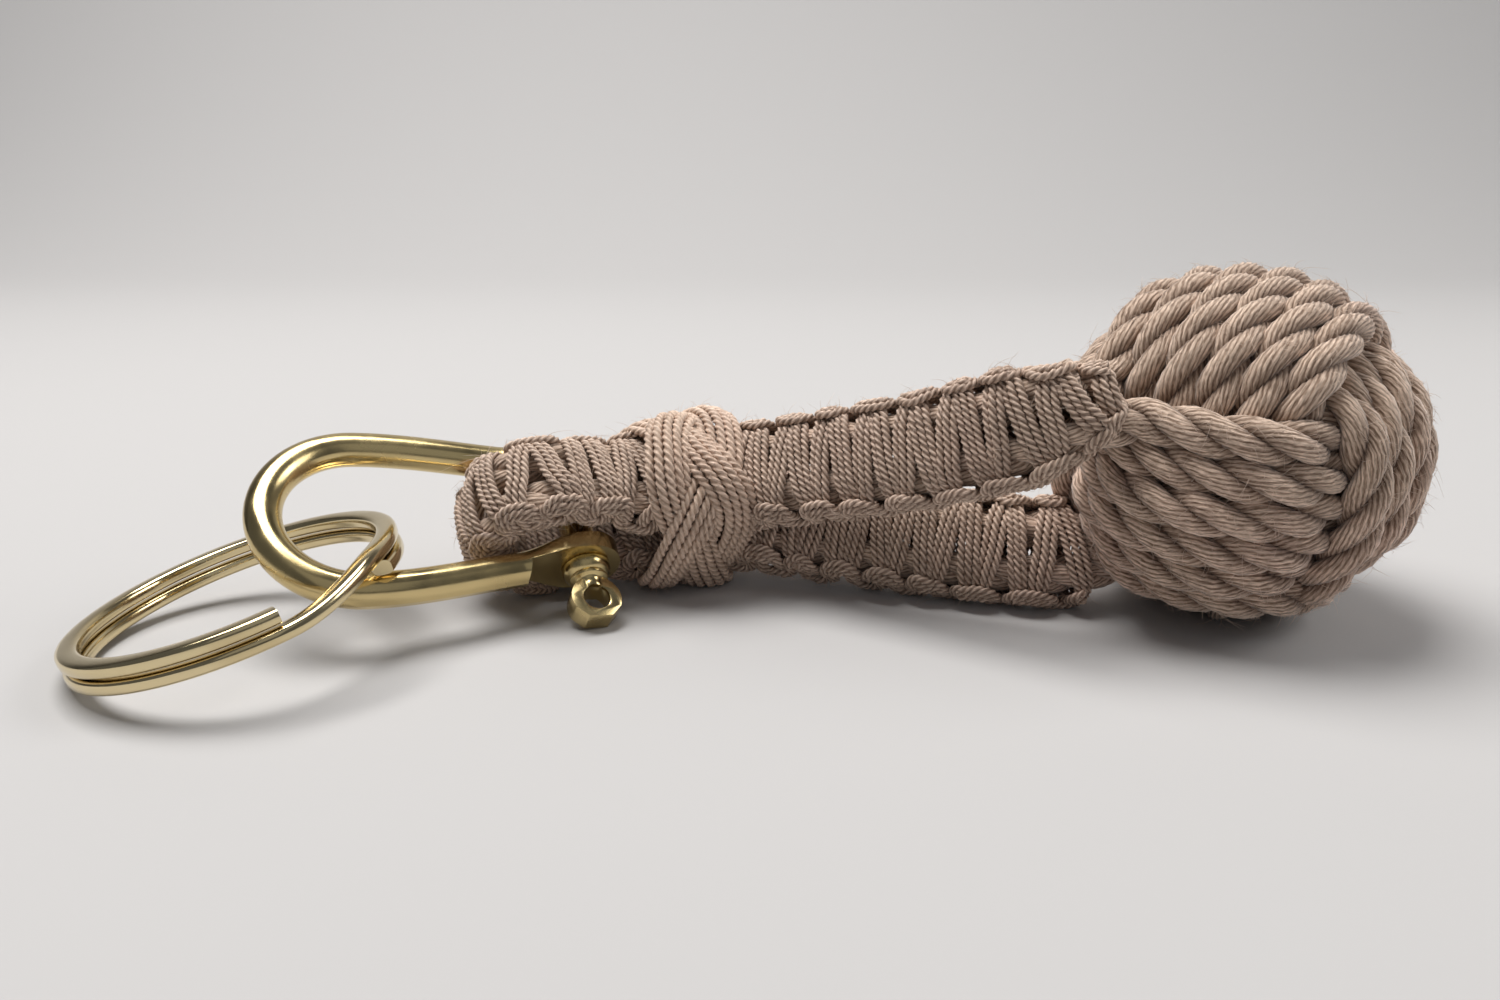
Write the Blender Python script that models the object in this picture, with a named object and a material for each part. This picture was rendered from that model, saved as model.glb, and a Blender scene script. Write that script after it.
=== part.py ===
"""Monkey fist key fob: a knotted ball on a corded loop, with a brass shackle and a split ring.

The fob lies as it rests on a table, +X from the split ring to the ball, +Z up.
Lengths are in metres.
"""
import math

import bmesh
import bpy
import numpy as np
from mathutils import Matrix, Vector

MM = 0.001
GAP = 0.3 * MM                        # left between solids that touch

# Knotted ball
FIST_CENTRE = Vector((50.5, 5.2, 18.6)) * MM
FIST_FRONT = Vector((-0.591, -0.795, -0.134))    # square to the face whose turns run level
FIST_RIGHT = Vector((0.805, -0.591, -0.044))     # square to the face at the far end
TURNS_PER_BAND = 6
CORD_TUBE = 2.6 * MM                  # cord as drawn here, thinner than it is, so that turns stay apart
TURN_PITCHES = (3.7 * MM, 3.8 * MM, 4.4 * MM)      # of each band's turns
BAND_SHIFTS = (-2.0 * MM, -1.6 * MM, 0.5 * MM)     # each band's middle from the ball's centre
OUTER_REACH = 18.2 * MM               # ball centre to a turn's centre line on its own face
INNER_REACH = 14.0 * MM               # the same where the turn runs under another band
TURN_SQUARENESS = 4.6                 # exponent of each turn's outline
EDGE_DRAW = 0.05                      # share by which a band's outer turns are drawn in
EDGE_DIVE = 0.08                      # the same where they run under another band
TURN_CLEARANCE = 0.62 * MM            # wanted between turns
TURN_REACH_SLACK = 0.35 * MM          # that spreading may add to the outer reach
TURN_STEP_FROM = 262                  # degrees round a turn at which it steps one pitch aside
TURN_STEP_OVER = 106
BAND_STARTS = (-45, 225, 135)         # degrees round each band at which its first turn begins
BAND_WAYS = (1, -1, 1)                # the way each band is wound, and the side it starts on
BAND_CUT = 2                          # points left out of a band where the next one is joined
END_CUT = 3                           # and where the cord leaves the ball
BAND_LEAD = 10.0 * MM                 # reach of the curves that join bands and ends
END_STRAIGHT = 1.1                    # straight run at each end, in cord diameters
SPREAD_ROUNDS = 240
CORE_RADIUS = 11.85 * MM
TABLE_BLOCK = 60 * MM                 # cutter that flattens the cord where it lies on the table
POINTS_PER_TURN = 24

# Loop of corded sinnet
LOOP_CORD = 4.0 * MM                  # each of the two cords inside the sinnet
LOOP_CORD_SPACING = 4.3 * MM
SINNET_WALL = 0.95 * MM
RIB_DEPTH = 0.35 * MM
KNOT_PITCH = 5.2 * MM
STATIONS_PER_KNOT = 4
BIGHT_RADIUS = 6.4 * MM               # of the loop's centre line round the pin
BIGHT_SLACK = 3.5 * MM                # from the pin to the bight's centre, towards the bow
COLLAR_FROM_PIN = 13.0 * MM           # pin to the middle of the cinching collar
COLLAR_LENGTH = 10.6 * MM
COLLAR_WALL = 1.6 * MM
COLLAR_BULGE = 0.5 * MM
ARM_GAP = 0.5 * MM                    # between the two arms under the collar
UPPER_EXIT = Vector((-18.8, -10.1, 7.3)) * MM    # from the ball's centre to the upper arm's end
LOWER_EXIT = Vector((-17.4, 0.6, -12.4)) * MM    # and to the lower arm's end
SINNET_START = 1.0 * MM               # bare cord left at each of these ends
UPPER_WIDTH_DIRECTION = Vector((-0.1, 0.25, 0.96))
LOWER_WIDTH_DIRECTION = Vector((-0.05, 0.5, 0.86))
UPPER_WAY = Vector((0.94, 0.0, 0.62))            # the way the upper arm enters the ball
LOWER_WAY = Vector((0.98, 0.17, 0.14))
COLLAR_LEAD = 34.0 * MM               # reach of the arms' curves out of the collar
UPPER_LEAD = 28.0 * MM                # and into the ball, upper arm
LOWER_LEAD = 19.0 * MM                # and lower arm

# Shackle and pin
PIN_CENTRE = Vector((-22.35, 9.0, 9.5)) * MM
PIN_AXIS = Vector((0.276, -0.774, -0.569)).normalized()
SHACKLE_RUN = Vector((-0.906, -0.407, 0.115))
LOOP_RUN = Vector((0.975, 0.2, -0.08))
WIRE = 3.8 * MM
JAW = 11.0 * MM                       # between the ears
EAR_THICKNESS = 2.0 * MM
EAR_RADIUS = 3.9 * MM
EAR_PAD = 6.6 * MM                    # pin to the shoulder of the flat on each ear
LEG_LENGTH = 23.2 * MM                # pin to the centre of the bow
BOW_RADIUS = 9.5 * MM                 # of the wire's centre line
LEG_INSET = 6.95 * MM                 # wire's centre line from the middle plane at the ears
PIN_DIAMETER = 3.8 * MM
PIN_COLLAR = 5.3 * MM
PIN_COLLAR_LENGTH = 1.9 * MM
PIN_NECK = 3.0 * MM
EYE_DIAMETER = 5.5 * MM
EYE_THICKNESS = 2.45 * MM
EYE_HOLE = 3.0 * MM
EYE_FROM_EAR = 4.5 * MM
EYE_END_CUT = 0.45 * MM               # taken off the eye's round end to leave a flat
EYE_FACE = Vector((0.35, -0.5, 0.8))  # the side that the eye's flat face looks to

# Split ring
RING_OUTER = 34.0 * MM
RING_WIRE_WIDTH = 2.2 * MM
RING_LAYER = 1.33 * MM
RING_LAYER_GAP = 0.44 * MM
RING_SEAT = 0.86                      # share of the leg's length at which the ring hangs
RING_NORMAL = Vector((-0.272, -0.035, 0.962)).normalized()
RING_TO_SEAT = Vector((0.966, 0.05, 0.254))
RING_JOGGLE = 45.0                    # degrees over which the wire steps to its second layer
RING_JOGGLE_FROM = -50.0              # degrees round the ring, from +X
RING_STEP = 7.5                       # degrees between sections

COTTON = (0.34, 0.25, 0.19, 1.0)
TWINE = (0.36, 0.27, 0.21, 1.0)
WOOD = (0.52, 0.36, 0.2, 1.0)
BRASS = (0.72, 0.52, 0.21, 1.0)


def clear_scene():
    for item in list(bpy.data.objects):
        bpy.data.objects.remove(item, do_unlink=True)


def make_material(name, colour, roughness, metallic):
    material = bpy.data.materials.new(name)
    material.use_nodes = True
    shader = material.node_tree.nodes["Principled BSDF"]
    shader.inputs["Base Color"].default_value = colour
    shader.inputs["Roughness"].default_value = roughness
    shader.inputs["Metallic"].default_value = metallic
    return material


def make_collection(name):
    collection = bpy.data.collections.new(name)
    bpy.context.scene.collection.children.link(collection)
    return collection


def square_to(vector, axis):
    """The part of a vector that is square to an axis, as a direction."""
    axis = axis.normalized()
    return (vector - axis * vector.dot(axis)).normalized()


def mesh_object(name, bm, collection, material, sharp_angle=35.0):
    bmesh.ops.recalc_face_normals(bm, faces=bm.faces)
    if bm.calc_volume(signed=True) < 0:
        bmesh.ops.reverse_faces(bm, faces=bm.faces)
    mesh = bpy.data.meshes.new(name)
    bm.to_mesh(mesh)
    bm.free()
    mesh.materials.append(material)
    mesh.shade_smooth()
    mesh.set_sharp_from_angle(angle=math.radians(sharp_angle))
    item = bpy.data.objects.new(name, mesh)
    collection.objects.link(item)
    return item


def tube_along(name, points, diameter, resolution, collection, material):
    """A round cord or wire: a poly curve with a bevel and filled caps, turned into a mesh."""
    curve = bpy.data.curves.new(name, "CURVE")
    curve.dimensions = "3D"
    curve.bevel_depth = diameter / 2
    curve.bevel_resolution = resolution
    curve.use_fill_caps = True
    curve.twist_mode = "MINIMUM"
    spline = curve.splines.new("POLY")
    spline.points.add(len(points) - 1)
    for knot, point in zip(spline.points, points):
        knot.co = (*point, 1.0)
    source = bpy.data.objects.new(name + "_curve", curve)
    collection.objects.link(source)
    bpy.context.view_layer.update()
    evaluated = source.evaluated_get(bpy.context.evaluated_depsgraph_get())
    mesh = bpy.data.meshes.new_from_object(evaluated)
    bm = bmesh.new()
    bm.from_mesh(mesh)
    bmesh.ops.remove_doubles(bm, verts=bm.verts, dist=0.01 * MM)
    bpy.data.objects.remove(source, do_unlink=True)
    bpy.data.meshes.remove(mesh)
    bpy.data.curves.remove(curve)
    return mesh_object(name, bm, collection, material)


def loft(name, outer, inner, collection, material):
    """A solid through rings of points, with a bore through it where inner rings are given."""
    bm = bmesh.new()
    outer = [[bm.verts.new(point) for point in ring] for ring in outer]
    inner = [[bm.verts.new(point) for point in ring] for ring in inner]
    for rings in (outer, inner):
        for first, second in zip(rings, rings[1:]):
            for i in range(len(first)):
                bm.faces.new((first[i - 1], first[i], second[i], second[i - 1]))
    for end in (0, -1):
        if inner:
            for i in range(len(outer[end])):
                bm.faces.new((outer[end][i - 1], outer[end][i], inner[end][i], inner[end][i - 1]))
        else:
            bm.faces.new(outer[end])
    return mesh_object(name, bm, collection, material)


def hide_cutter(item):
    item.hide_render = True
    item.display_type = "WIRE"


def add_boolean(item, other, operation):
    modifier = item.modifiers.new(operation.lower(), "BOOLEAN")
    modifier.operation = operation
    modifier.object = other
    hide_cutter(other)


def place(item, centre, direction, side=None):
    """Puts an object at a point with its Z axis along a direction and its X axis near a side."""
    z_axis = direction.normalized()
    x_axis = square_to(side if side else Vector((1.0, 0.3, 0.2)), z_axis)
    turn = Matrix((x_axis, z_axis.cross(x_axis), z_axis)).transposed()
    item.matrix_world = Matrix.Translation(centre) @ turn.to_4x4()


def cylinder(name, centre, direction, radius, depth, collection, material, sides=32):
    bm = bmesh.new()
    bmesh.ops.create_cone(
        bm, cap_ends=True, segments=sides, radius1=radius, radius2=radius, depth=depth)
    item = mesh_object(name, bm, collection, material)
    place(item, centre, direction)
    return item


def block(name, centre, direction, side, size, collection, material):
    bm = bmesh.new()
    bmesh.ops.create_cube(bm, size=1.0)
    bmesh.ops.scale(bm, vec=size, verts=bm.verts)
    item = mesh_object(name, bm, collection, material)
    place(item, centre, direction, side)
    return item


# Routes of the cords

def ease(t):
    t = min(max(t, 0.0), 1.0)
    return t * t * (3 - 2 * t)


def hermite(start, lead_in, end, lead_out, count):
    """Points of a smooth curve between two places, leaving and arriving along two leads."""
    points = []
    for i in range(count):
        t = i / (count - 1)
        points.append(
            start * (2 * t ** 3 - 3 * t ** 2 + 1) + lead_in * (t ** 3 - 2 * t ** 2 + t)
            + end * (3 * t ** 2 - 2 * t ** 3) + lead_out * (t ** 3 - t ** 2))
    return points


def resampled(points, count):
    """The same line with evenly spaced points."""
    points = np.array([tuple(point) for point in points])
    steps = np.linalg.norm(np.diff(points, axis=0), axis=1)
    length = np.concatenate(([0.0], np.cumsum(steps)))
    places = np.linspace(0.0, length[-1], count)
    return np.stack([np.interp(places, length, points[:, axis]) for axis in range(3)], axis=1)


def half_band(band):
    return TURN_PITCHES[band] * (TURNS_PER_BAND - 1) / 2


def turn_point(band, degrees, offset):
    """A point on a turn of one band, in the ball's own axes, offset across the band."""
    def bent(value):
        return math.copysign(abs(value) ** (2 / TURN_SQUARENESS), value)
    edge = (offset / half_band(band)) ** 2
    angle = math.radians(degrees)
    point = Vector((0.0, 0.0, 0.0))
    point[band] = OUTER_REACH * (1 - EDGE_DRAW * edge) * bent(math.cos(angle))
    point[(band + 1) % 3] = INNER_REACH * (1 - EDGE_DIVE * edge) * bent(math.sin(angle))
    point[(band + 2) % 3] = offset + BAND_SHIFTS[band]
    return point


def band_points(band):
    """All turns of one band, each stepping one pitch aside on its hidden inner quarter."""
    sweep = 360 * (TURNS_PER_BAND - 0.25)
    count = round(sweep * POINTS_PER_TURN / 360)
    points = []
    for i in range(count + 1):
        travelled = sweep * i / count
        turn, part = divmod(travelled, 360)
        steps = turn + ease((part - TURN_STEP_FROM) / TURN_STEP_OVER)
        degrees = BAND_STARTS[band] + BAND_WAYS[band] * travelled
        offset = BAND_WAYS[band] * (half_band(band) - steps * TURN_PITCHES[band])
        points.append(turn_point(band, degrees, offset))
    return points


def along(points):
    """Length along a line of points at each of them."""
    return np.concatenate(([0.0], np.cumsum(np.linalg.norm(np.diff(points, axis=0), axis=1))))


def resampled_by_bend(points, count, bend_share):
    """The same line with points that lie closer together where it bends."""
    steps = np.diff(points, axis=0)
    size = np.linalg.norm(steps, axis=1)
    way = steps / size[:, None]
    bend = np.linalg.norm(np.diff(way, axis=0), axis=1) / ((size[1:] + size[:-1]) / 2)
    bend = np.convolve(np.concatenate(([0.0], bend, [0.0])), np.ones(7) / 7, "same")
    weight = 1 + bend_share * bend
    place_of = np.concatenate(([0.0], np.cumsum((weight[1:] + weight[:-1]) / 2 * size)))
    places = np.linspace(0.0, place_of[-1], count)
    return np.stack([np.interp(places, place_of, points[:, axis]) for axis in range(3)], axis=1)


def samples_of(points, parts):
    """Points along a line's segments, with the segment and the share of it for each."""
    segment = np.repeat(np.arange(len(points) - 1), parts)
    share = np.tile(np.arange(parts) / parts, len(points) - 1)[:, None]
    return points[segment] * (1 - share) + points[segment + 1] * share, segment, share[:, 0]


def spread_apart(points, spacing, inside, outside, rounds):
    """Pushes a wound line's turns apart until they lie a spacing from each other."""
    parts = 3
    near = 1.6 * MM
    same_turn = 8 * MM
    push_share = 1.1
    straighten = 0.005
    points = points.copy()
    for turn in range(rounds):
        line, segment, share = samples_of(points, parts)
        if turn % 8 == 0:
            length = along(line)
            between = np.linalg.norm(line[:, None, :] - line[None, :, :], axis=2)
            first, second = np.nonzero(between < spacing + near)
            far = length[second] - length[first] > same_turn
            first, second = first[far], second[far]
        way = line[second] - line[first]
        distance = np.linalg.norm(way, axis=1)
        close = distance < spacing
        push = way[close] * ((spacing - distance[close]) / distance[close] / 2)[:, None]
        moved = np.zeros_like(points)
        touched = np.zeros(len(points))
        for ends, sign in ((first[close], -1), (second[close], 1)):
            for knot, weight in ((segment[ends], 1 - share[ends]), (segment[ends] + 1, share[ends])):
                np.add.at(moved, knot, sign * push * weight[:, None])
                np.add.at(touched, knot, weight)
        moved = moved / np.maximum(touched, 1)[:, None] * push_share
        moved[1:-1] += straighten * ((points[:-2] + points[2:]) / 2 - points[1:-1])
        moved[[0, -1]] = 0
        points += moved
        reach = np.linalg.norm(points, axis=1)
        held = np.clip(reach, inside, outside) / reach
        held[[0, -1]] = 1
        points *= held[:, None]
    return points


def least_gap(points, diameter):
    """Least clearance of a wound line to itself, measured on points along its segments."""
    line = samples_of(points, 4)[0]
    length = along(line)
    least = 1.0
    for i in range(len(line)):
        far = length - length[i] > 3.5 * diameter
        if far.any():
            least = min(least, np.linalg.norm(line[far] - line[i], axis=1).min())
    return least - diameter


def fist_axes():
    """Columns: front face, far end face and top face of the ball's winding."""
    front = FIST_FRONT.normalized()
    right = square_to(FIST_RIGHT, front)
    return Matrix((front, right, front.cross(right))).transposed()


def fist_route(ends):
    """The ball's one cord: three bands of turns, each over the band before and under the next."""
    to_fist = fist_axes().transposed()
    first, second, third = [band_points(band) for band in range(3)]
    (outlet, outlet_way), (inlet, inlet_way) = [
        (to_fist @ (place - FIST_CENTRE), to_fist @ way) for place, way in ends]
    leave = (first[END_CUT + 1] - first[END_CUT]).normalized()
    straight = END_STRAIGHT * CORD_TUBE
    points = hermite(
        inlet + inlet_way * straight, inlet_way * BAND_LEAD, first[END_CUT], leave * BAND_LEAD, 10)
    points += first[END_CUT + 1:-BAND_CUT]
    for before, after in ((first, second), (second, third)):
        arrive = (before[-BAND_CUT - 1] - before[-BAND_CUT - 2]).normalized()
        leave = (after[BAND_CUT + 1] - after[BAND_CUT]).normalized()
        joined = hermite(
            before[-BAND_CUT - 1], arrive * BAND_LEAD, after[BAND_CUT], leave * BAND_LEAD, 6)
        points += joined[1:-1]
        points += after[BAND_CUT:-(BAND_CUT if after is second else END_CUT)]
    arrive = (third[-END_CUT - 1] - third[-END_CUT - 2]).normalized()
    points += hermite(
        points[-1], arrive * BAND_LEAD, outlet + outlet_way * straight, -outlet_way * BAND_LEAD, 10)[1:]
    count = 3 * TURNS_PER_BAND * POINTS_PER_TURN
    points = resampled_by_bend(resampled(points, count * 3), count, 4 * MM)
    points = spread_apart(
        points, CORD_TUBE + TURN_CLEARANCE, CORE_RADIUS + GAP + CORD_TUBE / 2,
        OUTER_REACH + TURN_REACH_SLACK, SPREAD_ROUNDS)
    points = np.vstack((inlet, points, outlet))
    print("fist cord: least gap to itself %.2f mm" % (least_gap(points, CORD_TUBE) / MM))
    from_fist = fist_axes()
    reach = max(-(from_fist @ Vector(point)).z for point in points) + CORD_TUBE / 2
    print("fist cord: cut flat by %.2f mm" % ((reach - FIST_CENTRE.z) / MM))
    return [from_fist @ Vector(point) + FIST_CENTRE for point in points]


def loop_axes():
    """Run of the loop from the pin to the collar, the way across its cords and the way up."""
    across = -PIN_AXIS
    run = square_to(LOOP_RUN, across)
    return run, across, run.cross(across)


def sinnet_half_thickness():
    return LOOP_CORD / 2 + GAP + SINNET_WALL


def sinnet_half_width():
    return LOOP_CORD_SPACING / 2 + LOOP_CORD / 2 + GAP + SINNET_WALL


def loop_route():
    """Centre line of the doubled cord from the ball round the pin and back, with its width directions."""
    run, across, up = loop_axes()
    arm_offset = sinnet_half_thickness() + ARM_GAP / 2
    collar = PIN_CENTRE + run * COLLAR_FROM_PIN
    bight = PIN_CENTRE - run * BIGHT_SLACK
    upper_end = FIST_CENTRE + UPPER_EXIT
    lower_end = FIST_CENTRE + LOWER_EXIT
    lead = run * COLLAR_LEAD
    upper = hermite(
        upper_end, -UPPER_WAY.normalized() * UPPER_LEAD, collar + up * arm_offset, -lead, 40)
    closing = hermite(
        collar + up * arm_offset, -run * COLLAR_FROM_PIN, bight + up * BIGHT_RADIUS, -run * COLLAR_FROM_PIN, 16)
    eye = []
    for i in range(1, 24):
        angle = math.pi * i / 24
        eye.append(bight - run * BIGHT_RADIUS * math.sin(angle) + up * BIGHT_RADIUS * math.cos(angle))
    opening = hermite(
        bight - up * BIGHT_RADIUS, run * COLLAR_FROM_PIN, collar - up * arm_offset, run * COLLAR_FROM_PIN, 16)
    lower = hermite(
        collar - up * arm_offset, lead, lower_end, LOWER_WAY.normalized() * LOWER_LEAD, 40)
    points = upper + closing[1:] + eye + opening + lower[1:]
    widths = []
    for i in range(len(points)):
        if i < len(upper):
            share = ease(i / (len(upper) - 1))
            widths.append(UPPER_WIDTH_DIRECTION.lerp(across, share))
        elif i < len(points) - len(lower):
            widths.append(across.copy())
        else:
            share = ease((len(points) - 1 - i) / (len(lower) - 1))
            widths.append(LOWER_WIDTH_DIRECTION.lerp(across, share))
    return points, widths, len(upper) - 1, len(points) - len(lower)


def stations(points, widths, first, last, spacing):
    """Evenly spaced frames along part of the route: place, tangent, width and thickness directions."""
    line = np.array([tuple(point) for point in points])
    ways = np.gradient(line, along(line), axis=0)
    sides = np.array([tuple(width) for width in widths])
    lines = [values[first:last + 1] for values in (line, ways, sides)]
    length = along(lines[0])
    count = max(2, round(length[-1] / spacing) + 1)
    places = np.linspace(0.0, length[-1], count)
    centre, way, side = [
        np.stack([np.interp(places, length, values[:, axis]) for axis in range(3)], axis=1)
        for values in lines]
    frames = []
    for i in range(count):
        tangent = Vector(way[i]).normalized()
        width = square_to(Vector(side[i]), tangent)
        frames.append((Vector(centre[i]), tangent, width, tangent.cross(width)))
    return frames


def oval(frame, half_width, half_thickness, squareness, count):
    """A ring of points round a frame, between an ellipse and a rectangle."""
    centre, _, width, thick = frame
    ring = []
    for i in range(count):
        angle = 2 * math.pi * (i + 0.5) / count
        along = math.copysign(abs(math.cos(angle)) ** squareness, math.cos(angle))
        over = math.copysign(abs(math.sin(angle)) ** squareness, math.sin(angle))
        ring.append(centre + width * half_width * along + thick * half_thickness * over)
    return ring


def build_sinnet(name, frames, trim_start, trim_end, collection, material):
    """One stretch of the sinnet: a ribbed band with a bore for the two cords inside."""
    outer, inner = [], []
    for i, frame in enumerate(frames):
        low = i % 2 == 1 and 0 < i < len(frames) - 1
        bump = RIB_DEPTH * (1 + math.sin(2 * math.pi * i / STATIONS_PER_KNOT)) / 2
        shrink = RIB_DEPTH if low else 0.0
        shift = Vector((0.0, 0.0, 0.0))
        if i == 0:
            shift = frame[1] * trim_start
        if i == len(frames) - 1:
            shift = -frame[1] * trim_end
        moved = (frame[0] + shift, *frame[1:])
        outer.append(oval(moved, sinnet_half_width() - bump, sinnet_half_thickness() - shrink, 0.75, 8))
        if i % 2 == 0 or i == len(frames) - 1:
            half_bore = LOOP_CORD / 2 + 1.5 * GAP
            inner.append(oval(moved, half_bore + LOOP_CORD_SPACING / 2, half_bore, 0.6, 8))
    return loft(name, outer, inner, collection, material)


def build_loop(collection, materials):
    """The two cords of the loop, the sinnet over them and the collar that cinches the arms."""
    points, widths, collar_up, collar_down = loop_route()
    spacing = KNOT_PITCH / STATIONS_PER_KNOT
    parts = (
        ("sinnet_upper_arm", 0, collar_up, SINNET_START, GAP / 2),
        ("sinnet_bight", collar_up, collar_down, GAP / 2, GAP / 2),
        ("sinnet_lower_arm", collar_down, len(points) - 1, GAP / 2, SINNET_START))
    for name, first, last, trim_start, trim_end in parts:
        frames = stations(points, widths, first, last, spacing)
        build_sinnet(name, frames, trim_start, trim_end, collection, materials["twine"])
    frames = stations(points, widths, 0, len(points) - 1, LOOP_CORD * 0.75)
    ends = []
    for name, side in (("loop_cord_upper", 1), ("loop_cord_lower", -1)):
        line = [frame[0] + frame[2] * side * LOOP_CORD_SPACING / 2 for frame in frames]
        tube_along(name, line, LOOP_CORD, 2, collection, materials["cotton"])
        way = (line[0] - line[1]).normalized()
        ends.append((line[0] + way * GAP, way))
    build_collar(points, collection, materials["twine"])
    return ends


def build_collar(route, collection, material):
    """Cinching collar round both arms: a bulged band, its own turns left to the finish."""
    run, across, up = loop_axes()
    centre = PIN_CENTRE + run * COLLAR_FROM_PIN
    outer, inner = [], []
    count = 9
    for i in range(count):
        share = 2 * i / (count - 1) - 1
        spot = centre + run * share * COLLAR_LENGTH / 2
        beside = [point - spot for point in route if abs((point - spot).dot(run)) < 1.5 * MM]
        high = max(way.dot(up) for way in beside)
        low = min(way.dot(up) for way in beside)
        half_height = (high - low) / 2 + sinnet_half_thickness() + GAP
        half_width = max(abs(way.dot(across)) for way in beside) + sinnet_half_width() + GAP
        frame = (spot + up * (high + low) / 2, run, across, up)
        wall = COLLAR_WALL - COLLAR_WALL * 0.6 * abs(share) ** 4 + COLLAR_BULGE * (1 - share ** 2)
        outer.append(oval(frame, half_width + wall, half_height + wall, 0.8, 24))
        inner.append(oval(frame, half_width, half_height, 0.55, 24))
    return loft("turks_head_collar", outer, inner, collection, material)


def build_fist(ends, collection, cutters, materials):
    cord = tube_along("fist_cord", fist_route(ends), CORD_TUBE, 1, collection, materials["cotton"])
    floor = block(
        "table_plane", Vector((FIST_CENTRE.x, FIST_CENTRE.y, -TABLE_BLOCK / 2)), Vector((0, 0, 1)),
        Vector((1, 0, 0)), Vector((1, 1, 1)) * TABLE_BLOCK, cutters, materials["cotton"])
    add_boolean(cord, floor, "DIFFERENCE")
    bm = bmesh.new()
    bmesh.ops.create_uvsphere(bm, u_segments=20, v_segments=12, radius=CORE_RADIUS)
    core = mesh_object("fist_core_ball", bm, collection, materials["wood"])
    core.location = FIST_CENTRE


# Shackle, pin and split ring

def shackle_axes():
    run = square_to(SHACKLE_RUN, PIN_AXIS)
    return run, PIN_AXIS


def leg_point(share, side):
    """A point of a leg's centre line, from beside the pin to where the bow begins."""
    run, axis = shackle_axes()
    offset = LEG_INSET + (BOW_RADIUS - LEG_INSET) * ease(share)
    return PIN_CENTRE + run * LEG_LENGTH * share + axis * side * offset


def build_shackle(collection, cutters, material):
    run, axis = shackle_axes()
    start = (EAR_PAD - 0.4 * MM) / LEG_LENGTH
    count = 14
    shares = [start + (1 - start) * i / (count - 1) for i in range(count)]
    line = [leg_point(share, 1) for share in shares]
    centre = PIN_CENTRE + run * LEG_LENGTH
    for i in range(1, 20):
        angle = math.pi * i / 20
        line.append(centre + run * BOW_RADIUS * math.sin(angle) + axis * BOW_RADIUS * math.cos(angle))
    line += [leg_point(share, -1) for share in reversed(shares)]
    bow = tube_along("shackle_bow", line, WIRE, 3, collection, material)
    for side, word in ((1, "front"), (-1, "rear")):
        middle = PIN_CENTRE + axis * side * (JAW + EAR_THICKNESS) / 2
        disc = cylinder("ear_disc_" + word, middle, axis, EAR_RADIUS, EAR_THICKNESS, cutters, material)
        pad_length = EAR_PAD + 1.2 * MM
        pad = block(
            "ear_pad_" + word, middle + run * pad_length / 2, axis, run,
            Vector((pad_length, 2 * EAR_RADIUS - 0.4 * MM, EAR_THICKNESS - 0.02 * MM)), cutters, material)
        add_boolean(bow, disc, "UNION")
        add_boolean(bow, pad, "UNION")
    hole = cylinder(
        "pin_hole", PIN_CENTRE, axis, PIN_DIAMETER / 2 + GAP, JAW + 6 * EAR_THICKNESS, cutters, material, 24)
    add_boolean(bow, hole, "DIFFERENCE")
    return bow


def build_pin(collection, cutters, material):
    """Screw pin: a turned shank with a domed collar and neck, and a flat eye with a hole."""
    head = JAW / 2 + EAR_THICKNESS + GAP
    tail = -(JAW / 2 + EAR_THICKNESS)
    bm = bmesh.new()
    profile = [(0, tail), (PIN_DIAMETER / 2 - 0.4 * MM, tail), (PIN_DIAMETER / 2, tail + 0.4 * MM)]
    profile += [(PIN_DIAMETER / 2, head)]
    for i in range(7):
        angle = math.pi / 2 * i / 6
        rise = PIN_COLLAR_LENGTH * math.sin(angle)
        radius = PIN_NECK / 2 + (PIN_COLLAR - PIN_NECK) / 2 * math.cos(angle)
        profile.append((radius, head + rise))
    profile += [(PIN_NECK / 2, head + EYE_FROM_EAR - EYE_HOLE / 2 - 0.2 * MM)]
    profile += [(0, head + EYE_FROM_EAR - EYE_HOLE / 2 - 0.2 * MM)]
    knots = [bm.verts.new((radius, 0, height)) for radius, height in profile]
    edges = [bm.edges.new(pair) for pair in zip(knots, knots[1:])]
    bmesh.ops.spin(
        bm, geom=knots + edges, cent=(0, 0, 0), axis=(0, 0, 1), angle=2 * math.pi, steps=24, use_merge=True)
    bmesh.ops.remove_doubles(bm, verts=bm.verts, dist=0.005 * MM)
    pin = mesh_object("shackle_pin", bm, collection, material)
    place(pin, PIN_CENTRE, PIN_AXIS)
    face = square_to(EYE_FACE, PIN_AXIS)
    eye_centre = PIN_CENTRE + PIN_AXIS * (head + EYE_FROM_EAR)
    eye = cylinder(
        "pin_eye", eye_centre, face, EYE_DIAMETER / 2, EYE_THICKNESS, cutters, material, 16)
    hole = cylinder("eye_hole", eye_centre, face, EYE_HOLE / 2, EYE_THICKNESS * 3, cutters, material, 20)
    end = block(
        "eye_end", eye_centre + PIN_AXIS * (EYE_DIAMETER - EYE_END_CUT), PIN_AXIS, face,
        Vector((1, 1, 1)) * EYE_DIAMETER, cutters, material)
    add_boolean(pin, eye, "UNION")
    add_boolean(pin, hole, "DIFFERENCE")
    add_boolean(pin, end, "DIFFERENCE")
    return pin


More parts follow.
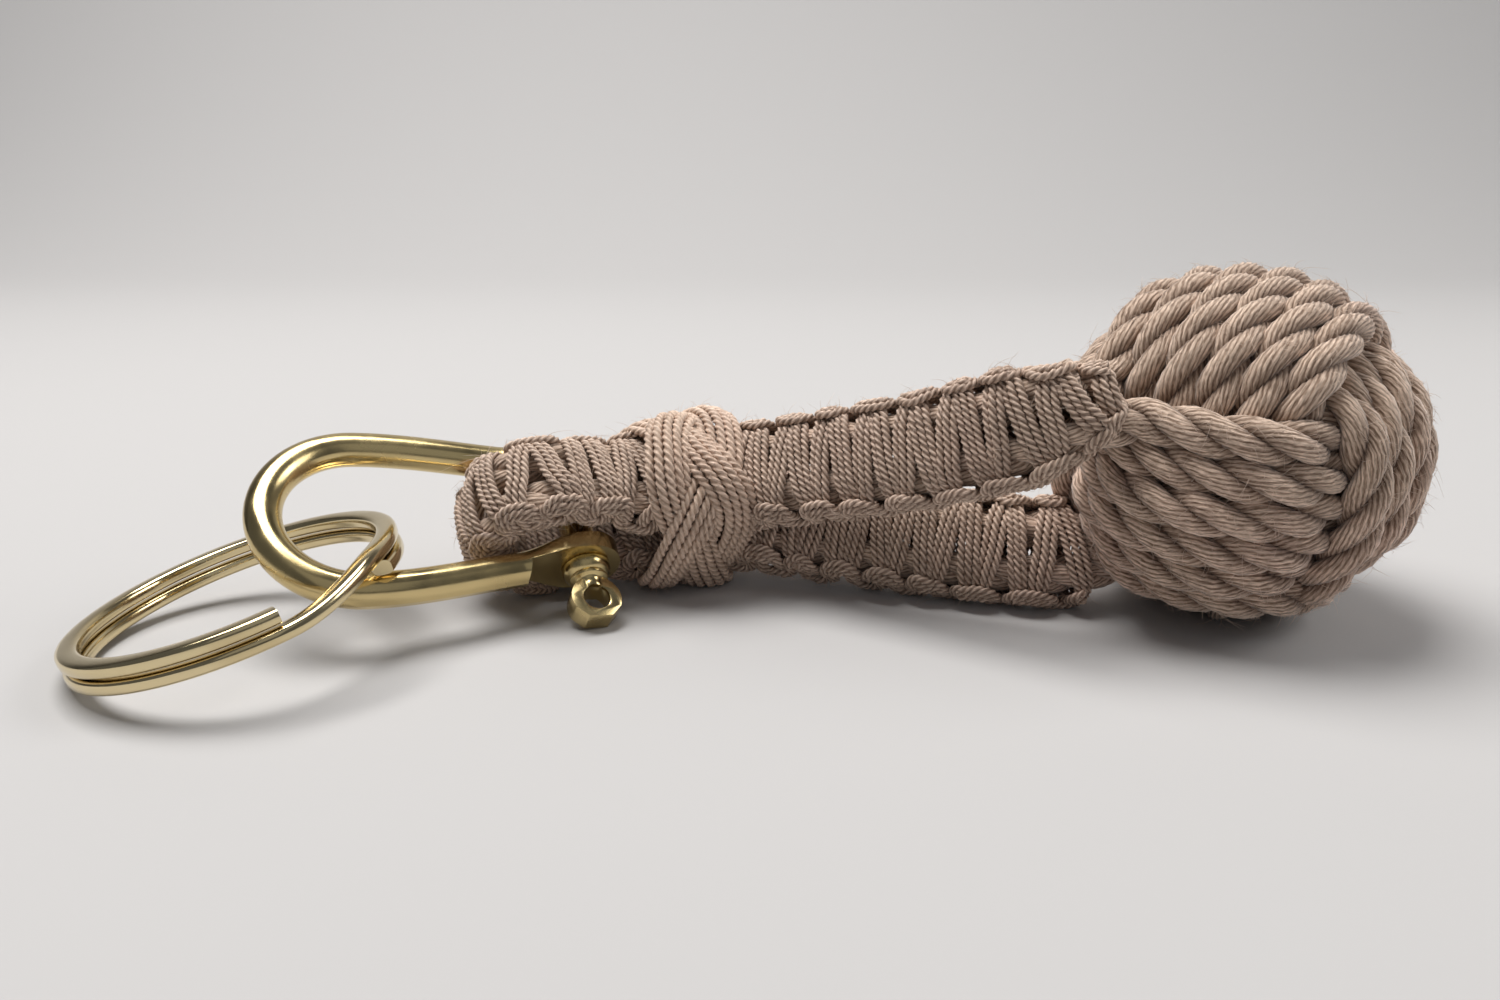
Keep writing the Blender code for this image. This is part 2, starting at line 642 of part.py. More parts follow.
def build_ring(collection, material):
    """Split ring: two turns of flat wire, stepping from the lower layer to the upper one."""
    normal = RING_NORMAL
    to_seat = square_to(RING_TO_SEAT, normal)
    pitch = RING_LAYER + RING_LAYER_GAP
    height = pitch + RING_LAYER
    mean_radius = (RING_OUTER - RING_WIRE_WIDTH) / 2
    seat = leg_point(RING_SEAT, 1)
    tangent = (leg_point(RING_SEAT + 0.02, 1) - leg_point(RING_SEAT - 0.02, 1)).normalized()
    lean = abs(tangent.dot(normal))
    rise = (WIRE + RING_WIRE_WIDTH * lean) / 2 / math.sqrt(1 - lean ** 2) + height / 2 + GAP
    centre = seat + normal * rise - to_seat * mean_radius
    forward = square_to(Vector((1, 0, 0)), normal)
    left = normal.cross(forward)
    rings = []
    end = 720 - RING_JOGGLE - 2
    count = round(end / RING_STEP)
    for i in range(count + 1):
        travelled = end * i / count
        share = ease((travelled - (360 - RING_JOGGLE)) / RING_JOGGLE)
        angle = math.radians(RING_JOGGLE_FROM + RING_JOGGLE + travelled)
        out = forward * math.cos(angle) + left * math.sin(angle)
        spot = centre + out * mean_radius + normal * pitch * (share - 0.5)
        frame = (spot, None, out, normal)
        rings.append(oval(frame, RING_WIRE_WIDTH / 2, RING_LAYER / 2, 0.6, 10))
    loft("split_ring", rings, [], collection, material)
    return seat, tangent


def box_of(items):
    """Low and high corners round the objects as they are drawn."""
    bpy.context.view_layer.update()
    graph = bpy.context.evaluated_depsgraph_get()
    corners = []
    for item in items:
        mesh = item.evaluated_get(graph).to_mesh()
        corners += [item.matrix_world @ vert.co for vert in mesh.vertices]
    sides = [[corner[axis] for corner in corners] for axis in range(3)]
    return Vector(map(min, sides)), Vector(map(max, sides))


def centre_on_base(parts, cutters):
    """Moves everything so that the origin is the middle of the box's base."""
    low, high = box_of(parts)
    shift = -Vector(((low.x + high.x) / 2, (low.y + high.y) / 2, low.z))
    for item in list(parts) + list(cutters):
        item.matrix_world = Matrix.Translation(shift) @ item.matrix_world
    return shift


def in_mm(values, digits=3):
    return [round(value / MM, digits) for value in values]


def main():
    clear_scene()
    collection = make_collection("monkey_fist_fob")
    cutters = make_collection("cutters")
    materials = {
        "cotton": make_material("cotton_cord", COTTON, 0.9, 0.0),
        "twine": make_material("cotton_twine", TWINE, 0.7, 0.0),
        "wood": make_material("core_wood", WOOD, 0.6, 0.0),
        "brass": make_material("brass", BRASS, 0.25, 1.0)}
    ends = build_loop(collection, materials)
    build_fist(ends, collection, cutters, materials)
    build_shackle(collection, cutters, materials["brass"])
    build_pin(collection, cutters, materials["brass"])
    seat, tangent = build_ring(collection, materials["brass"])
    shift = centre_on_base(collection.objects, cutters.objects)
    for item in collection.objects:
        print(item.name, "box, mm:", *[in_mm(corner, 2) for corner in box_of([item])])
    print("moved onto its base by, mm:", in_mm(shift))
    print("pin hinge, mm:", in_mm(PIN_CENTRE + shift), "along", [round(v, 5) for v in PIN_AXIS])
    print("ring hinge, mm:", in_mm(seat + shift), "along", [round(v, 5) for v in tangent])


main()
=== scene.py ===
import math
import random

import bmesh
import bpy
import numpy as np
from mathutils import Matrix, Vector
from mathutils.kdtree import KDTree


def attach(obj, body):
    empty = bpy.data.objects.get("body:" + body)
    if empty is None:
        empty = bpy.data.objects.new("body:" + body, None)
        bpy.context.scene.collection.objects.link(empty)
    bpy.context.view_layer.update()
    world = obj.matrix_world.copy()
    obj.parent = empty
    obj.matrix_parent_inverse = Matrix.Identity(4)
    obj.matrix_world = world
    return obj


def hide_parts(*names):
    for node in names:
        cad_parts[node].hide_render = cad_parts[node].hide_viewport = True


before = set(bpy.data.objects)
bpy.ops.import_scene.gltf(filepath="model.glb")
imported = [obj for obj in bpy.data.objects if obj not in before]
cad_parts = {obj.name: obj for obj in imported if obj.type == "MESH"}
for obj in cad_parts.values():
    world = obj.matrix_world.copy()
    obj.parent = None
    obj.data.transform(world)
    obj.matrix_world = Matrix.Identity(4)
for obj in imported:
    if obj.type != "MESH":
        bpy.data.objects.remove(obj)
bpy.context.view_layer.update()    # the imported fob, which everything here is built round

mm = 0.001
scene = bpy.context.scene
dice = random.Random(7)


def linked(name, data):
    piece = bpy.data.objects.new(name, data)
    scene.collection.objects.link(piece)
    return piece


# Camera, set up first

camera = {
    "place": (-1.705, -120.854, 51.4), "lens": 28.8, "sensor": 36.0, "nearest": 5.0,    # mm
    "tiltDown": 17.22}    # degrees below level

cameraData = bpy.data.cameras.new("camera")
cameraData.lens = camera["lens"]
cameraData.sensor_width = camera["sensor"]
cameraData.clip_start = camera["nearest"] * mm
cameraObject = linked("camera", cameraData)
cameraObject.location = Vector(camera["place"]) * mm
cameraObject.rotation_euler = (math.radians(90 - camera["tiltDown"]), 0, 0)
scene.camera = cameraObject


# Small helpers for lines and directions

def ease(t):
    t = min(max(t, 0.0), 1.0)
    return t * t * (3 - 2 * t)


def easeOver(x, start, length):
    return ease((x - start) / length)


def squareTo(vector, axis):
    axis = axis.normalized()
    return (vector - axis * vector.dot(axis)).normalized()


def hermite(start, leadIn, end, leadOut, count):
    points = []
    for i in range(count):
        t = i / (count - 1)
        points.append(
            start * (2 * t ** 3 - 3 * t ** 2 + 1) + leadIn * (t ** 3 - 2 * t ** 2 + t)
            + end * (3 * t ** 2 - 2 * t ** 3) + leadOut * (t ** 3 - t ** 2))
    return points


def asArray(points):
    return np.array([tuple(point) for point in points], float)


def lengthAlong(points):
    return np.concatenate(([0.0], np.cumsum(np.linalg.norm(np.diff(points, axis=0), axis=1))))


def respaced(points, spacing):
    length = lengthAlong(points)
    places = np.linspace(0.0, length[-1], max(2, round(length[-1] / spacing) + 1))
    return np.stack([np.interp(places, length, points[:, axis]) for axis in range(3)], axis=1)


def smoothed(points, rounds):
    points = points.copy()
    for _ in range(rounds):
        points[1:-1] = (points[:-2] + 2 * points[1:-1] + points[2:]) / 4
    return points


def unitRows(rows):
    return rows / np.maximum(np.linalg.norm(rows, axis=1), 1e-12)[:, None]


def squaredOff(angles, squareness):    # cosine and sine of a rounded oblong
    parts = np.cos(angles), np.sin(angles)
    return [np.sign(part) * np.abs(part) ** squareness for part in parts]


def headings(points):
    return unitRows(np.gradient(points, axis=0))


def carriedSides(points):    # a side direction kept along a line without twist
    ways = headings(points)
    anySlant = (0.31, 0.17, 0.93)
    side = np.cross(ways[0], anySlant)
    sides = np.empty_like(points)
    for i, way in enumerate(ways):
        side = side - way * side.dot(way)
        side /= np.linalg.norm(side)
        sides[i] = side
    return sides, np.cross(ways, sides)


def wavy(count, spacing, size):    # slow random wander with about the given size
    knots = [dice.gauss(0, size) for _ in range(int(count / spacing) + 4)]
    places = np.arange(count) / spacing
    return np.interp(places, np.arange(len(knots)), knots)


def catmull(values, steps):    # smooth curve through rows of values
    values = np.array(values, float)
    padded = np.vstack((2 * values[0] - values[1], values, 2 * values[-1] - values[-2]))
    rows = []
    for i in range(len(values) - 1):
        a, b, c, d = padded[i:i + 4]
        for k in range(steps):
            t = k / steps
            rows.append(0.5 * (2 * b + (c - a) * t + (2 * a - 5 * b + 4 * c - d) * t * t
                               + (3 * b - a - 3 * c + d) * t ** 3))
    rows.append(values[-1])
    return np.array(rows)


# Small helpers for pieces

nearness = {"caps": 0.001, "spun": 0.004, "cut": 0.04, "slivers": 0.01}    # mm, merges points
edgeAngles = {"bevelFrom": 32, "smoothTo": 28}    # degrees between two faces
ridgeNarrow = 7    # how fast the cast line along a bar's outside fades to both sides


def finished(piece, material, body, nodes=()):
    piece.data.materials.clear()
    piece.data.materials.append(material)
    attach(piece, body)
    if nodes:
        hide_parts(*nodes)


def evaluatedMesh(source):
    bpy.context.view_layer.update()
    shown = source.evaluated_get(bpy.context.evaluated_depsgraph_get())
    return bpy.data.meshes.new_from_object(shown)


def discard(pieces, store):
    for piece in pieces:
        data = piece.data
        bpy.data.objects.remove(piece, do_unlink=True)
        store.remove(data)


def outwards(mesh):    # welds the end caps on and points the faces outwards
    bm = bmesh.new()
    bm.from_mesh(mesh)
    bmesh.ops.remove_doubles(bm, verts=bm.verts, dist=nearness["caps"] * mm)
    if bm.calc_volume(signed=True) < 0:
        bmesh.ops.reverse_faces(bm, faces=bm.faces)
    bm.to_mesh(mesh)
    bm.free()


def profileCurve(name, points):
    curve = bpy.data.curves.new(name, "CURVE")
    curve.dimensions = "2D"
    spline = curve.splines.new("POLY")
    spline.points.add(len(points) - 1)
    for knot, (x, y) in zip(spline.points, points):
        knot.co = (x, y, 0.0, 1.0)
    spline.use_cyclic_u = True
    return linked(name, curve)


def lobedProfile(radius, lobes, depth, count):    # round section with yarns standing proud
    points = []
    for i in range(count):
        angle = -2 * math.pi * i / count
        reach = radius * (1 - depth * (1 - math.cos(lobes * angle)) / 2)
        points.append((reach * math.cos(angle), reach * math.sin(angle)))
    return points


def cordMesh(name, lines, profile, tilts=None, radii=None):    # profile carried along each line
    shape = profileCurve(name + "_profile", profile)
    curve = bpy.data.curves.new(name, "CURVE")
    curve.dimensions = "3D"
    curve.bevel_mode = "OBJECT"
    curve.bevel_object = shape
    curve.use_fill_caps = True
    curve.twist_mode = "MINIMUM"
    for i, line in enumerate(lines):
        spline = curve.splines.new("POLY")
        spline.points.add(len(line) - 1)
        spline.points.foreach_set("co", np.hstack((line, np.ones((len(line), 1)))).ravel())
        if tilts:
            spline.points.foreach_set("tilt", tilts[i])
        if radii:
            spline.points.foreach_set("radius", radii[i])
    source = linked(name + "_line", curve)
    mesh = evaluatedMesh(source)
    discard((source, shape), bpy.data.curves)
    mesh.name = name
    outwards(mesh)
    stretchUv(mesh, np.mean([lengthAlong(line)[-1] for line in lines]))
    return linked(name, mesh)


# edges of one section, whose two half sizes lie along its first and second direction
def sectionRing(bm, centre, first, second, halves, boxiness, count, ridge=0.0):
    made = bmesh.ops.create_circle(bm, segments=count, radius=1.0, cap_ends=False)
    for vert in made["verts"]:
        cosine, sine = vert.co.x, vert.co.y
        reach = math.copysign(abs(cosine) ** boxiness, cosine) * halves[0]
        reach += ridge * max(0.0, cosine) * max(0.0, 1 - ridgeNarrow * abs(sine))
        high = math.copysign(abs(sine) ** boxiness, sine) * halves[1]
        vert.co = (centre + first * reach + second * high) * mm
    return list({edge for vert in made["verts"] for edge in vert.link_edges})


def loftMesh(name, sections, count):    # one closed skin over all the sections
    bm = bmesh.new()
    rings = [sectionRing(bm, *section[:5], count, *section[5:]) for section in sections]
    for before, after in zip(rings, rings[1:]):
        bmesh.ops.bridge_loops(bm, edges=before + after)
    for ring in (rings[0], rings[-1]):
        bmesh.ops.edgeloop_fill(bm, edges=ring)
    return solidPiece(name, bm)


def solidPiece(name, bm):
    bmesh.ops.recalc_face_normals(bm, faces=bm.faces)
    mesh = bpy.data.meshes.new(name)
    bm.to_mesh(mesh)
    bm.free()
    outwards(mesh)
    return linked(name, mesh)


def placedAlong(direction, centre):    # turns Z to a direction and moves to a centre in mm
    turn = direction.to_track_quat("Z", "Y").to_matrix().to_4x4()
    return Matrix.Translation(centre * mm) @ turn


def addDrum(bm, centre, direction, radius, depth, sides=64):    # cylinder, in mm
    bmesh.ops.create_cone(
        bm, cap_ends=True, segments=sides, radius1=radius * mm, radius2=radius * mm,
        depth=depth * mm, matrix=placedAlong(direction, centre))


def drum(name, *shape):
    bm = bmesh.new()
    addDrum(bm, *shape)
    return solidPiece(name, bm)


def combined(piece, tools, bevelWidth):    # booleans, then a fine bevel on the sharp edges
    for tool, operation in tools:
        change = piece.modifiers.new(operation.lower(), "BOOLEAN")
        change.solver = "EXACT"
        change.operation = operation
        change.object = tool
    if tools:
        cut = evaluatedMesh(piece)
        piece.modifiers.clear()
        bm = bmesh.new()
        bm.from_mesh(cut)
        bmesh.ops.remove_doubles(bm, verts=bm.verts, dist=nearness["cut"] * mm)
        bmesh.ops.dissolve_degenerate(bm, edges=bm.edges, dist=nearness["slivers"] * mm)
        bm.to_mesh(piece.data)
        bm.free()
        bpy.data.meshes.remove(cut)
    if bevelWidth:
        rounding = piece.modifiers.new("edges", "BEVEL")
        rounding.width = bevelWidth * mm
        rounding.segments = 2
        rounding.limit_method = "ANGLE"
        rounding.angle_limit = math.radians(edgeAngles["bevelFrom"])
    mesh = evaluatedMesh(piece)
    name = piece.name
    discard([piece] + [tool for tool, _ in tools], bpy.data.meshes)
    mesh.name = name
    outwards(mesh)
    mesh.shade_smooth()
    mesh.set_sharp_from_angle(angle=math.radians(edgeAngles["smoothTo"]))
    return linked(name, mesh)


def stretchUv(mesh, length):    # U in mm along the cord, V once round it
    layer = mesh.uv_layers[0].data
    values = np.empty(len(layer) * 2)
    layer.foreach_get("uv", values)
    values[0::2] *= length / mm
    layer.foreach_set("uv", values)


# mask for the painted shade in the grooves between strands or plies: 1 within deep mm of the lines,
# 0 beyond shallow mm
def markCrevices(mesh, line, deep, shallow):
    finder = KDTree(len(line))
    for i, point in enumerate(line):
        finder.insert(point, i)
    finder.balance()
    reach = np.array([finder.find(vert.co)[2] for vert in mesh.vertices]) / mm
    depth = mesh.attributes.new("crevice", "FLOAT", "POINT")
    depth.data.foreach_set("value", np.clip((shallow - reach) / (shallow - deep), 0, 1))


def tiltsFor(line, pitch, start=0.0):    # turns the profile once in each pitch, left-handed
    return start - 2 * math.pi * lengthAlong(line) / pitch


def laidStrands(line, lay, reach, wander):    # three strands, laid right-handed
    sideA, sideB = carriedSides(line)
    turn = 2 * math.pi * lengthAlong(line) / lay + wavy(len(line), *wander)
    strands = []
    for k in range(3):
        angle = turn + 2 * math.pi * k / 3
        out = sideA * np.cos(angle)[:, None] + sideB * np.sin(angle)[:, None]
        strands.append(line + out * reach)
    return strands


# Materials

def feed(tree, node, inputs):    # links or sets a node's inputs, by name or number
    for name, value in inputs.items():
        if isinstance(value, bpy.types.NodeSocket):
            tree.links.new(value, node.inputs[name])
        else:
            node.inputs[name].default_value = value


def nodeAt(tree, kind, inputs, **settings):
    node = tree.nodes.new(kind)
    for name, value in settings.items():
        setattr(node, name, value)
    feed(tree, node, inputs)
    return node


def mixColours(tree, share, first, second, blend="MIX"):
    sockets = {0: share, 6: first, 7: second}    # those that a colour mix uses
    mix = nodeAt(tree, "ShaderNodeMix", sockets, data_type="RGBA", blend_type=blend)
    return mix.outputs[2]


def multiplied(tree, first, second):
    return mixColours(tree, 1.0, first, second, "MULTIPLY")


def newMaterial(name):
    material = bpy.data.materials.new(name)
    material.use_nodes = True
    tree = material.node_tree
    return material, tree, tree.nodes["Principled BSDF"]


def scaledNoise(tree, coordinate, scale, detail, roughness=0.5, stretch=(1, 1, 1)):
    mapping = nodeAt(tree, "ShaderNodeMapping", {"Vector": coordinate, "Scale": stretch})
    noise = nodeAt(tree, "ShaderNodeTexNoise", {
        "Vector": mapping.outputs[0], "Scale": scale, "Detail": detail, "Roughness": roughness})
    return noise.outputs["Fac"]


def ranged(tree, value, low, high, newLow=0.0, newHigh=1.0):
    node = nodeAt(tree, "ShaderNodeMapRange", {
        "Value": value, "From Min": low, "From Max": high, "To Min": newLow, "To Max": newHigh})
    return node.outputs["Result"]


def patchy(tree, coordinate, scale, detail, low, high, most=1.0):    # a share from 0 to most
    return ranged(tree, scaledNoise(tree, coordinate, scale, detail), low, high, 0.0, most)


def worked(tree, operation, *values):    # a Math node on outputs and numbers
    inputs = dict(enumerate(values))
    return nodeAt(tree, "ShaderNodeMath", inputs, operation=operation).outputs[0]


def bumped(tree, shader, height, strength, distance):
    bump = nodeAt(tree, "ShaderNodeBump", {
        "Height": height, "Strength": strength, "Distance": distance})
    feed(tree, shader, {"Normal": bump.outputs["Normal"]})


# noise as scale, detail, roughness and stretch, or as scale, detail and the range that counts
white = (1, 1, 1, 1)
yarnLook = {"wander": (0.4, 2, 0.5, (1, 8, 1)), "fibres": (0.25, 0.75), "broken": 0.8, "crest": 0.6}
cordLook = {
    "dark": (0.790, 0.614, 0.491, 1), "light": (0.860, 0.678, 0.549, 1),
    "patches": (130, 3, 0.35, 0.65), "pools": (48, 2, 0.46, 0.64),
    "pink": (0.860, 0.634, 0.525, 1), "pinkness": 0.75,
    "shade": (0.90, 0.89, 0.88, 1), "shine": (1.06, 1.06, 1.06, 1), "clumps": (420, 3, 0.3, 0.7),
    # groove is painted shade in the fibre grooves, crest is painted light on the fibre crests
    "groove": (0.46, 0.43, 0.40, 1), "crest": (1.26, 1.26, 1.26, 1),
    "fibres": (1.3, 4, 0.65, (1, 40, 1)), "fibreRange": (0.3, 0.7),
    # between and the crevice colour are painted shade: between yarns, and in grooves between
    # strands and plies
    "between": (0.42, 0.37, 0.33, 1), "yarns": 14, "paintedCreviceShade": (0.34, 0.29, 0.26, 1),
    "bump": 1.0, "relief": 0.00009, "roughness": 0.88, "sheen": 0.4, "sheenRoughness": 0.45,
    "specular": 0.18}
# the twine's between and crevice colours are painted shade too, as in the cord
twineLook = dict(
    cordLook, dark=(0.820, 0.638, 0.514, 1), light=(0.950, 0.745, 0.604, 1),
    pink=(0.880, 0.645, 0.536, 1), pinkness=0.5, yarns=3, between=(0.76, 0.72, 0.68, 1),
    paintedCreviceShade=(0.32, 0.27, 0.24, 1), fibres=(2.2, 4, 0.65, (1, 10, 1)), bump=0.8, relief=0.00004,
    roughness=0.55, specular=0.5, sheen=0.12)
# painted light: a lighter copy of the twine for the collar, which stands proud and catches more
# light from above
paintedLitCollarLook = dict(
    twineLook, dark=(0.900, 0.700, 0.564, 1), light=(0.970, 0.760, 0.616, 1),
    between=(0.84, 0.81, 0.78, 1), paintedCreviceShade=(0.58, 0.53, 0.49, 1))
fuzzLook = dict(cordLook, yarns=0, groove=white, crest=(1.1, 1.1, 1.1, 1))
brassLook = {
    "bright": (0.63, 0.50, 0.25, 1), "dull": (0.46, 0.345, 0.155, 1), "polish": 0.14, "worn": 0.30,
    "tarnish": (95, 3, 0.45, 0.75, 0.6), "clouds": (260, 4), "cloudRange": (0.35, 0.7),
    "scratches": (900, 3, 0.7), "bump": 0.12, "relief": 0.00003}
ringLook = dict(brassLook, bright=(0.72, 0.60, 0.36, 1), polish=0.09, worn=0.2)
woodLook = {
    "dark": (0.36, 0.22, 0.11, 1), "light": (0.58, 0.41, 0.23, 1), "grainRange": (0.3, 0.7),
    "grain": (120, 4, 0.6, (1, 1, 0.12)), "bump": 0.3, "relief": 0.0001, "roughness": 0.6}


def yarnWave(tree, coordinate, yarns, fibres):    # 1 on each yarn's crest, 0 in the grooves between
    parts = nodeAt(tree, "ShaderNodeSeparateXYZ", {0: coordinate})
    wander = scaledNoise(tree, coordinate, *yarnLook["wander"])
    shift = ranged(tree, wander, 0, 1, -1 / yarns, 1 / yarns)
    moved = worked(tree, "ADD", parts.outputs["Y"], shift)
    wave = worked(tree, "COSINE", worked(tree, "MULTIPLY", moved, 2 * math.pi * yarns))
    breaks = ranged(tree, fibres, *yarnLook["fibres"], -yarnLook["broken"], yarnLook["broken"])
    return ranged(tree, worked(tree, "ADD", wave, breaks), -1, yarnLook["crest"])


def cottonMaterial(name, look):
    material, tree, shader = newMaterial(name)
    places = tree.nodes.new("ShaderNodeTexCoord").outputs
    spot = places["Object"]
    fibres = scaledNoise(tree, places["UV"], *look["fibres"])
    tone = mixColours(tree, patchy(tree, spot, *look["patches"]), look["dark"], look["light"])
    pools = patchy(tree, spot, *look["pools"], look["pinkness"])
    tone = mixColours(tree, pools, tone, look["pink"])
    # painted shade and light: darker in the fibre bump's lows, lighter on its crests
    thread = ranged(tree, fibres, *look["fibreRange"])
    thread = mixColours(tree, thread, look["groove"], look["crest"])
    clumps = mixColours(tree, patchy(tree, spot, *look["clumps"]), look["shade"], look["shine"])
    colour = multiplied(tree, multiplied(tree, tone, thread), clumps)
    # painted shade: the colour darkens to the between colour in the grooves between yarns, along
    # the yarn wave
    if look["yarns"]:
        wave = yarnWave(tree, places["UV"], look["yarns"], fibres)
        colour = multiplied(tree, colour, mixColours(tree, wave, look["between"], white))
    # painted shade: the colour darkens in the grooves between strands and between plies, where the
    # crevice mask is 1
    crevice = nodeAt(tree, "ShaderNodeAttribute", {}, attribute_name="crevice").outputs["Fac"]
    colour = multiplied(tree, colour, mixColours(tree, crevice, white, look["paintedCreviceShade"]))
    bumped(tree, shader, fibres, look["bump"], look["relief"])
    feed(tree, shader, {
        "Base Color": colour, "Roughness": look["roughness"], "Sheen Weight": look["sheen"],
        "Sheen Roughness": look["sheenRoughness"], "Specular IOR Level": look["specular"]})
    return material


def brassMaterial(name, look):
    material, tree, shader = newMaterial(name)
    spot = tree.nodes.new("ShaderNodeTexCoord").outputs["Object"]
    tone = mixColours(tree, patchy(tree, spot, *look["tarnish"]), look["bright"], look["dull"])
    clouds = scaledNoise(tree, spot, *look["clouds"])
    rough = ranged(tree, clouds, *look["cloudRange"], look["polish"], look["worn"])
    bumped(tree, shader, scaledNoise(tree, spot, *look["scratches"]), look["bump"], look["relief"])
    feed(tree, shader, {"Base Color": tone, "Roughness": rough, "Metallic": 1.0})
    return material


def woodMaterial(name, look):
    material, tree, shader = newMaterial(name)
    spot = tree.nodes.new("ShaderNodeTexCoord").outputs["Object"]
    grain = scaledNoise(tree, spot, *look["grain"])
    tone = mixColours(tree, ranged(tree, grain, *look["grainRange"]), look["dark"], look["light"])
    bumped(tree, shader, grain, look["bump"], look["relief"])
    feed(tree, shader, {"Base Color": tone, "Roughness": look["roughness"]})
    return material


cordMaterial = cottonMaterial("laid_cotton", cordLook)
twineMaterial = cottonMaterial("twisted_twine", twineLook)
paintedLitCollarMaterial = cottonMaterial("collar_twine_painted_lit", paintedLitCollarLook)
fuzzMaterial = cottonMaterial("cotton_fuzz", fuzzLook)
brassSolid = brassMaterial("cast_brass", brassLook)
brassWire = brassMaterial("drawn_brass", ringLook)
coreWood = woodMaterial("turned_wood", woodLook)
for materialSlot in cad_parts["fist_core_ball"].material_slots:
    materialSlot.material = coreWood
print("materials made")


# Route of the doubled loop, from the ball round the pin and back

loop = {
    "shift": (0.445, 0.046, 0.0),    # mm, the whole fob onto its base
    "pin": (-22.35, 9.0, 9.5), "pinAxis": (0.276, -0.774, -0.569),
    "run": (0.975, 0.2, -0.08), "ball": (50.5, 5.2, 18.6),
    "cordSpacing": 4.3, "halfThick": 3.25, "bightRadius": 6.4, "bightSlack": 3.5,
    "collarFromPin": 13.0, "armGap": 0.5,
    "upperExit": (-18.8, -10.1, 7.3), "lowerExit": (-17.4, 0.6, -12.4),
    "upperWidth": (-0.1, 0.25, 0.96), "lowerWidth": (-0.05, 0.5, 0.86),
    "upperWay": (0.94, 0.0, 0.62), "lowerWay": (0.98, 0.17, 0.14),
    "collarLead": 34.0, "upperLead": 28.0, "lowerLead": 19.0,
    "armSteps": 40, "closingSteps": 16, "eyeSteps": 24}

pinAxis = Vector(loop["pinAxis"]).normalized()
pinCentre = Vector(loop["pin"]) + Vector(loop["shift"])
ballCentre = Vector(loop["ball"]) + Vector(loop["shift"])
across = -pinAxis
run = squareTo(Vector(loop["run"]), across)
up = run.cross(across)
collarCentre = pinCentre + run * loop["collarFromPin"]


def loopRoute():
    armUp = up * (loop["halfThick"] + loop["armGap"] / 2)
    upperCollar, lowerCollar = collarCentre + armUp, collarCentre - armUp
    bight = pinCentre - run * loop["bightSlack"]
    bightUp = up * loop["bightRadius"]
    upperEnd = ballCentre + Vector(loop["upperExit"])
    lowerEnd = ballCentre + Vector(loop["lowerExit"])
    upperLead = -Vector(loop["upperWay"]).normalized() * loop["upperLead"]
    lowerLead = Vector(loop["lowerWay"]).normalized() * loop["lowerLead"]
    lead = run * loop["collarLead"]
    closeLead = run * loop["collarFromPin"]
    upper = hermite(upperEnd, upperLead, upperCollar, -lead, loop["armSteps"])
    closing = hermite(upperCollar, -closeLead, bight + bightUp, -closeLead, loop["closingSteps"])
    eye = []
    for i in range(1, loop["eyeSteps"]):
        angle = math.pi * i / loop["eyeSteps"]
        eye.append(bight + (up * math.cos(angle) - run * math.sin(angle)) * loop["bightRadius"])
    opening = hermite(bight - bightUp, closeLead, lowerCollar, closeLead, loop["closingSteps"])
    lower = hermite(lowerCollar, lead, lowerEnd, lowerLead, loop["armSteps"])
    points = upper + closing[1:] + eye + opening + lower[1:]
    widths = []
    for i in range(len(points)):
        fromBall = min(i, len(points) - 1 - i)
        atBall = Vector(loop["upperWidth"] if i < len(points) / 2 else loop["lowerWidth"])
        widths.append(atBall.lerp(across, ease(fromBall / (loop["armSteps"] - 1))))
    return asArray(points) * mm, asArray(widths)


routePoints, routeWidths = loopRoute()
routeLength = lengthAlong(routePoints)
routeWays = np.gradient(routePoints, routeLength, axis=0)


def loopFrames(places):    # centre, heading, width and thickness at lengths from the ball
    spread = [
        np.stack([np.interp(places, routeLength, rows[:, axis]) for axis in range(3)], axis=1)
        for rows in (routePoints, routeWays, routeWidths)]
    over = places - np.clip(places, 0, routeLength[-1])
    centre, way, width = spread[0], unitRows(spread[1]), spread[2]
    centre = centre + way * over[:, None]
    width = unitRows(width - way * np.sum(width * way, axis=1)[:, None])
    return centre, way, width, np.cross(way, width)


# The ball: one laid cord in three bands of turns

ball = {
    "centre": (50.465, 5.351, 18.6),    # mm
    "front": (-0.591, -0.795, -0.134), "right": (0.805, -0.591, -0.044),
    "turns": 6, "outerReach": 17.1, "innerReach": 13.0, "squareness": 4.2,
    "pitches": (3.5, 3.8, 4.6), "shifts": (-3.6, -2.4, 0.4),    # of each band, across its turns
    "bands": ((-45, 1, 1), (225, -1, -1), (135, 1, 1)),    # start in degrees, direction, first side
    "shortBy": 0.25, "shift": (262, 106),    # turns, and degrees of each turn: start, length
    "edgeDraw": 0.05, "edgeDive": 0.15, "spacing": 4.0, "coreReach": 12.4, "pointsPerTurn": 24,
    "lead": 10, "cut": 2, "endCut": 3, "joinSteps": 6, "endSteps": 10, "outerSlack": 0.3,
    "lay": 15.5, "strandRadius": 1.27, "strandReach": 1.10, "step": 0.95, "from": 2.5,
    "smoothing": 5, "wander": (24, 0.25), "uneven": (9, 0.035),    # points apart, size
    "yarnDepth": 0.10, "yarnPitch": 17.0, "floor": 2.4, "flattened": 0.9, "crevices": (1.5, 2.2)}
spreading = {    # pushes turns apart that lie closer than the cord is thick
    "parts": 3, "margin": 1.6, "refresh": 8, "alongCord": 8, "evening": 0.02, "rounds": 120}
ballMiddle = np.array(ball["centre"])


def ballAxes():
    front = Vector(ball["front"]).normalized()
    right = squareTo(Vector(ball["right"]), front)
    return Matrix((front, right, front.cross(right))).transposed()


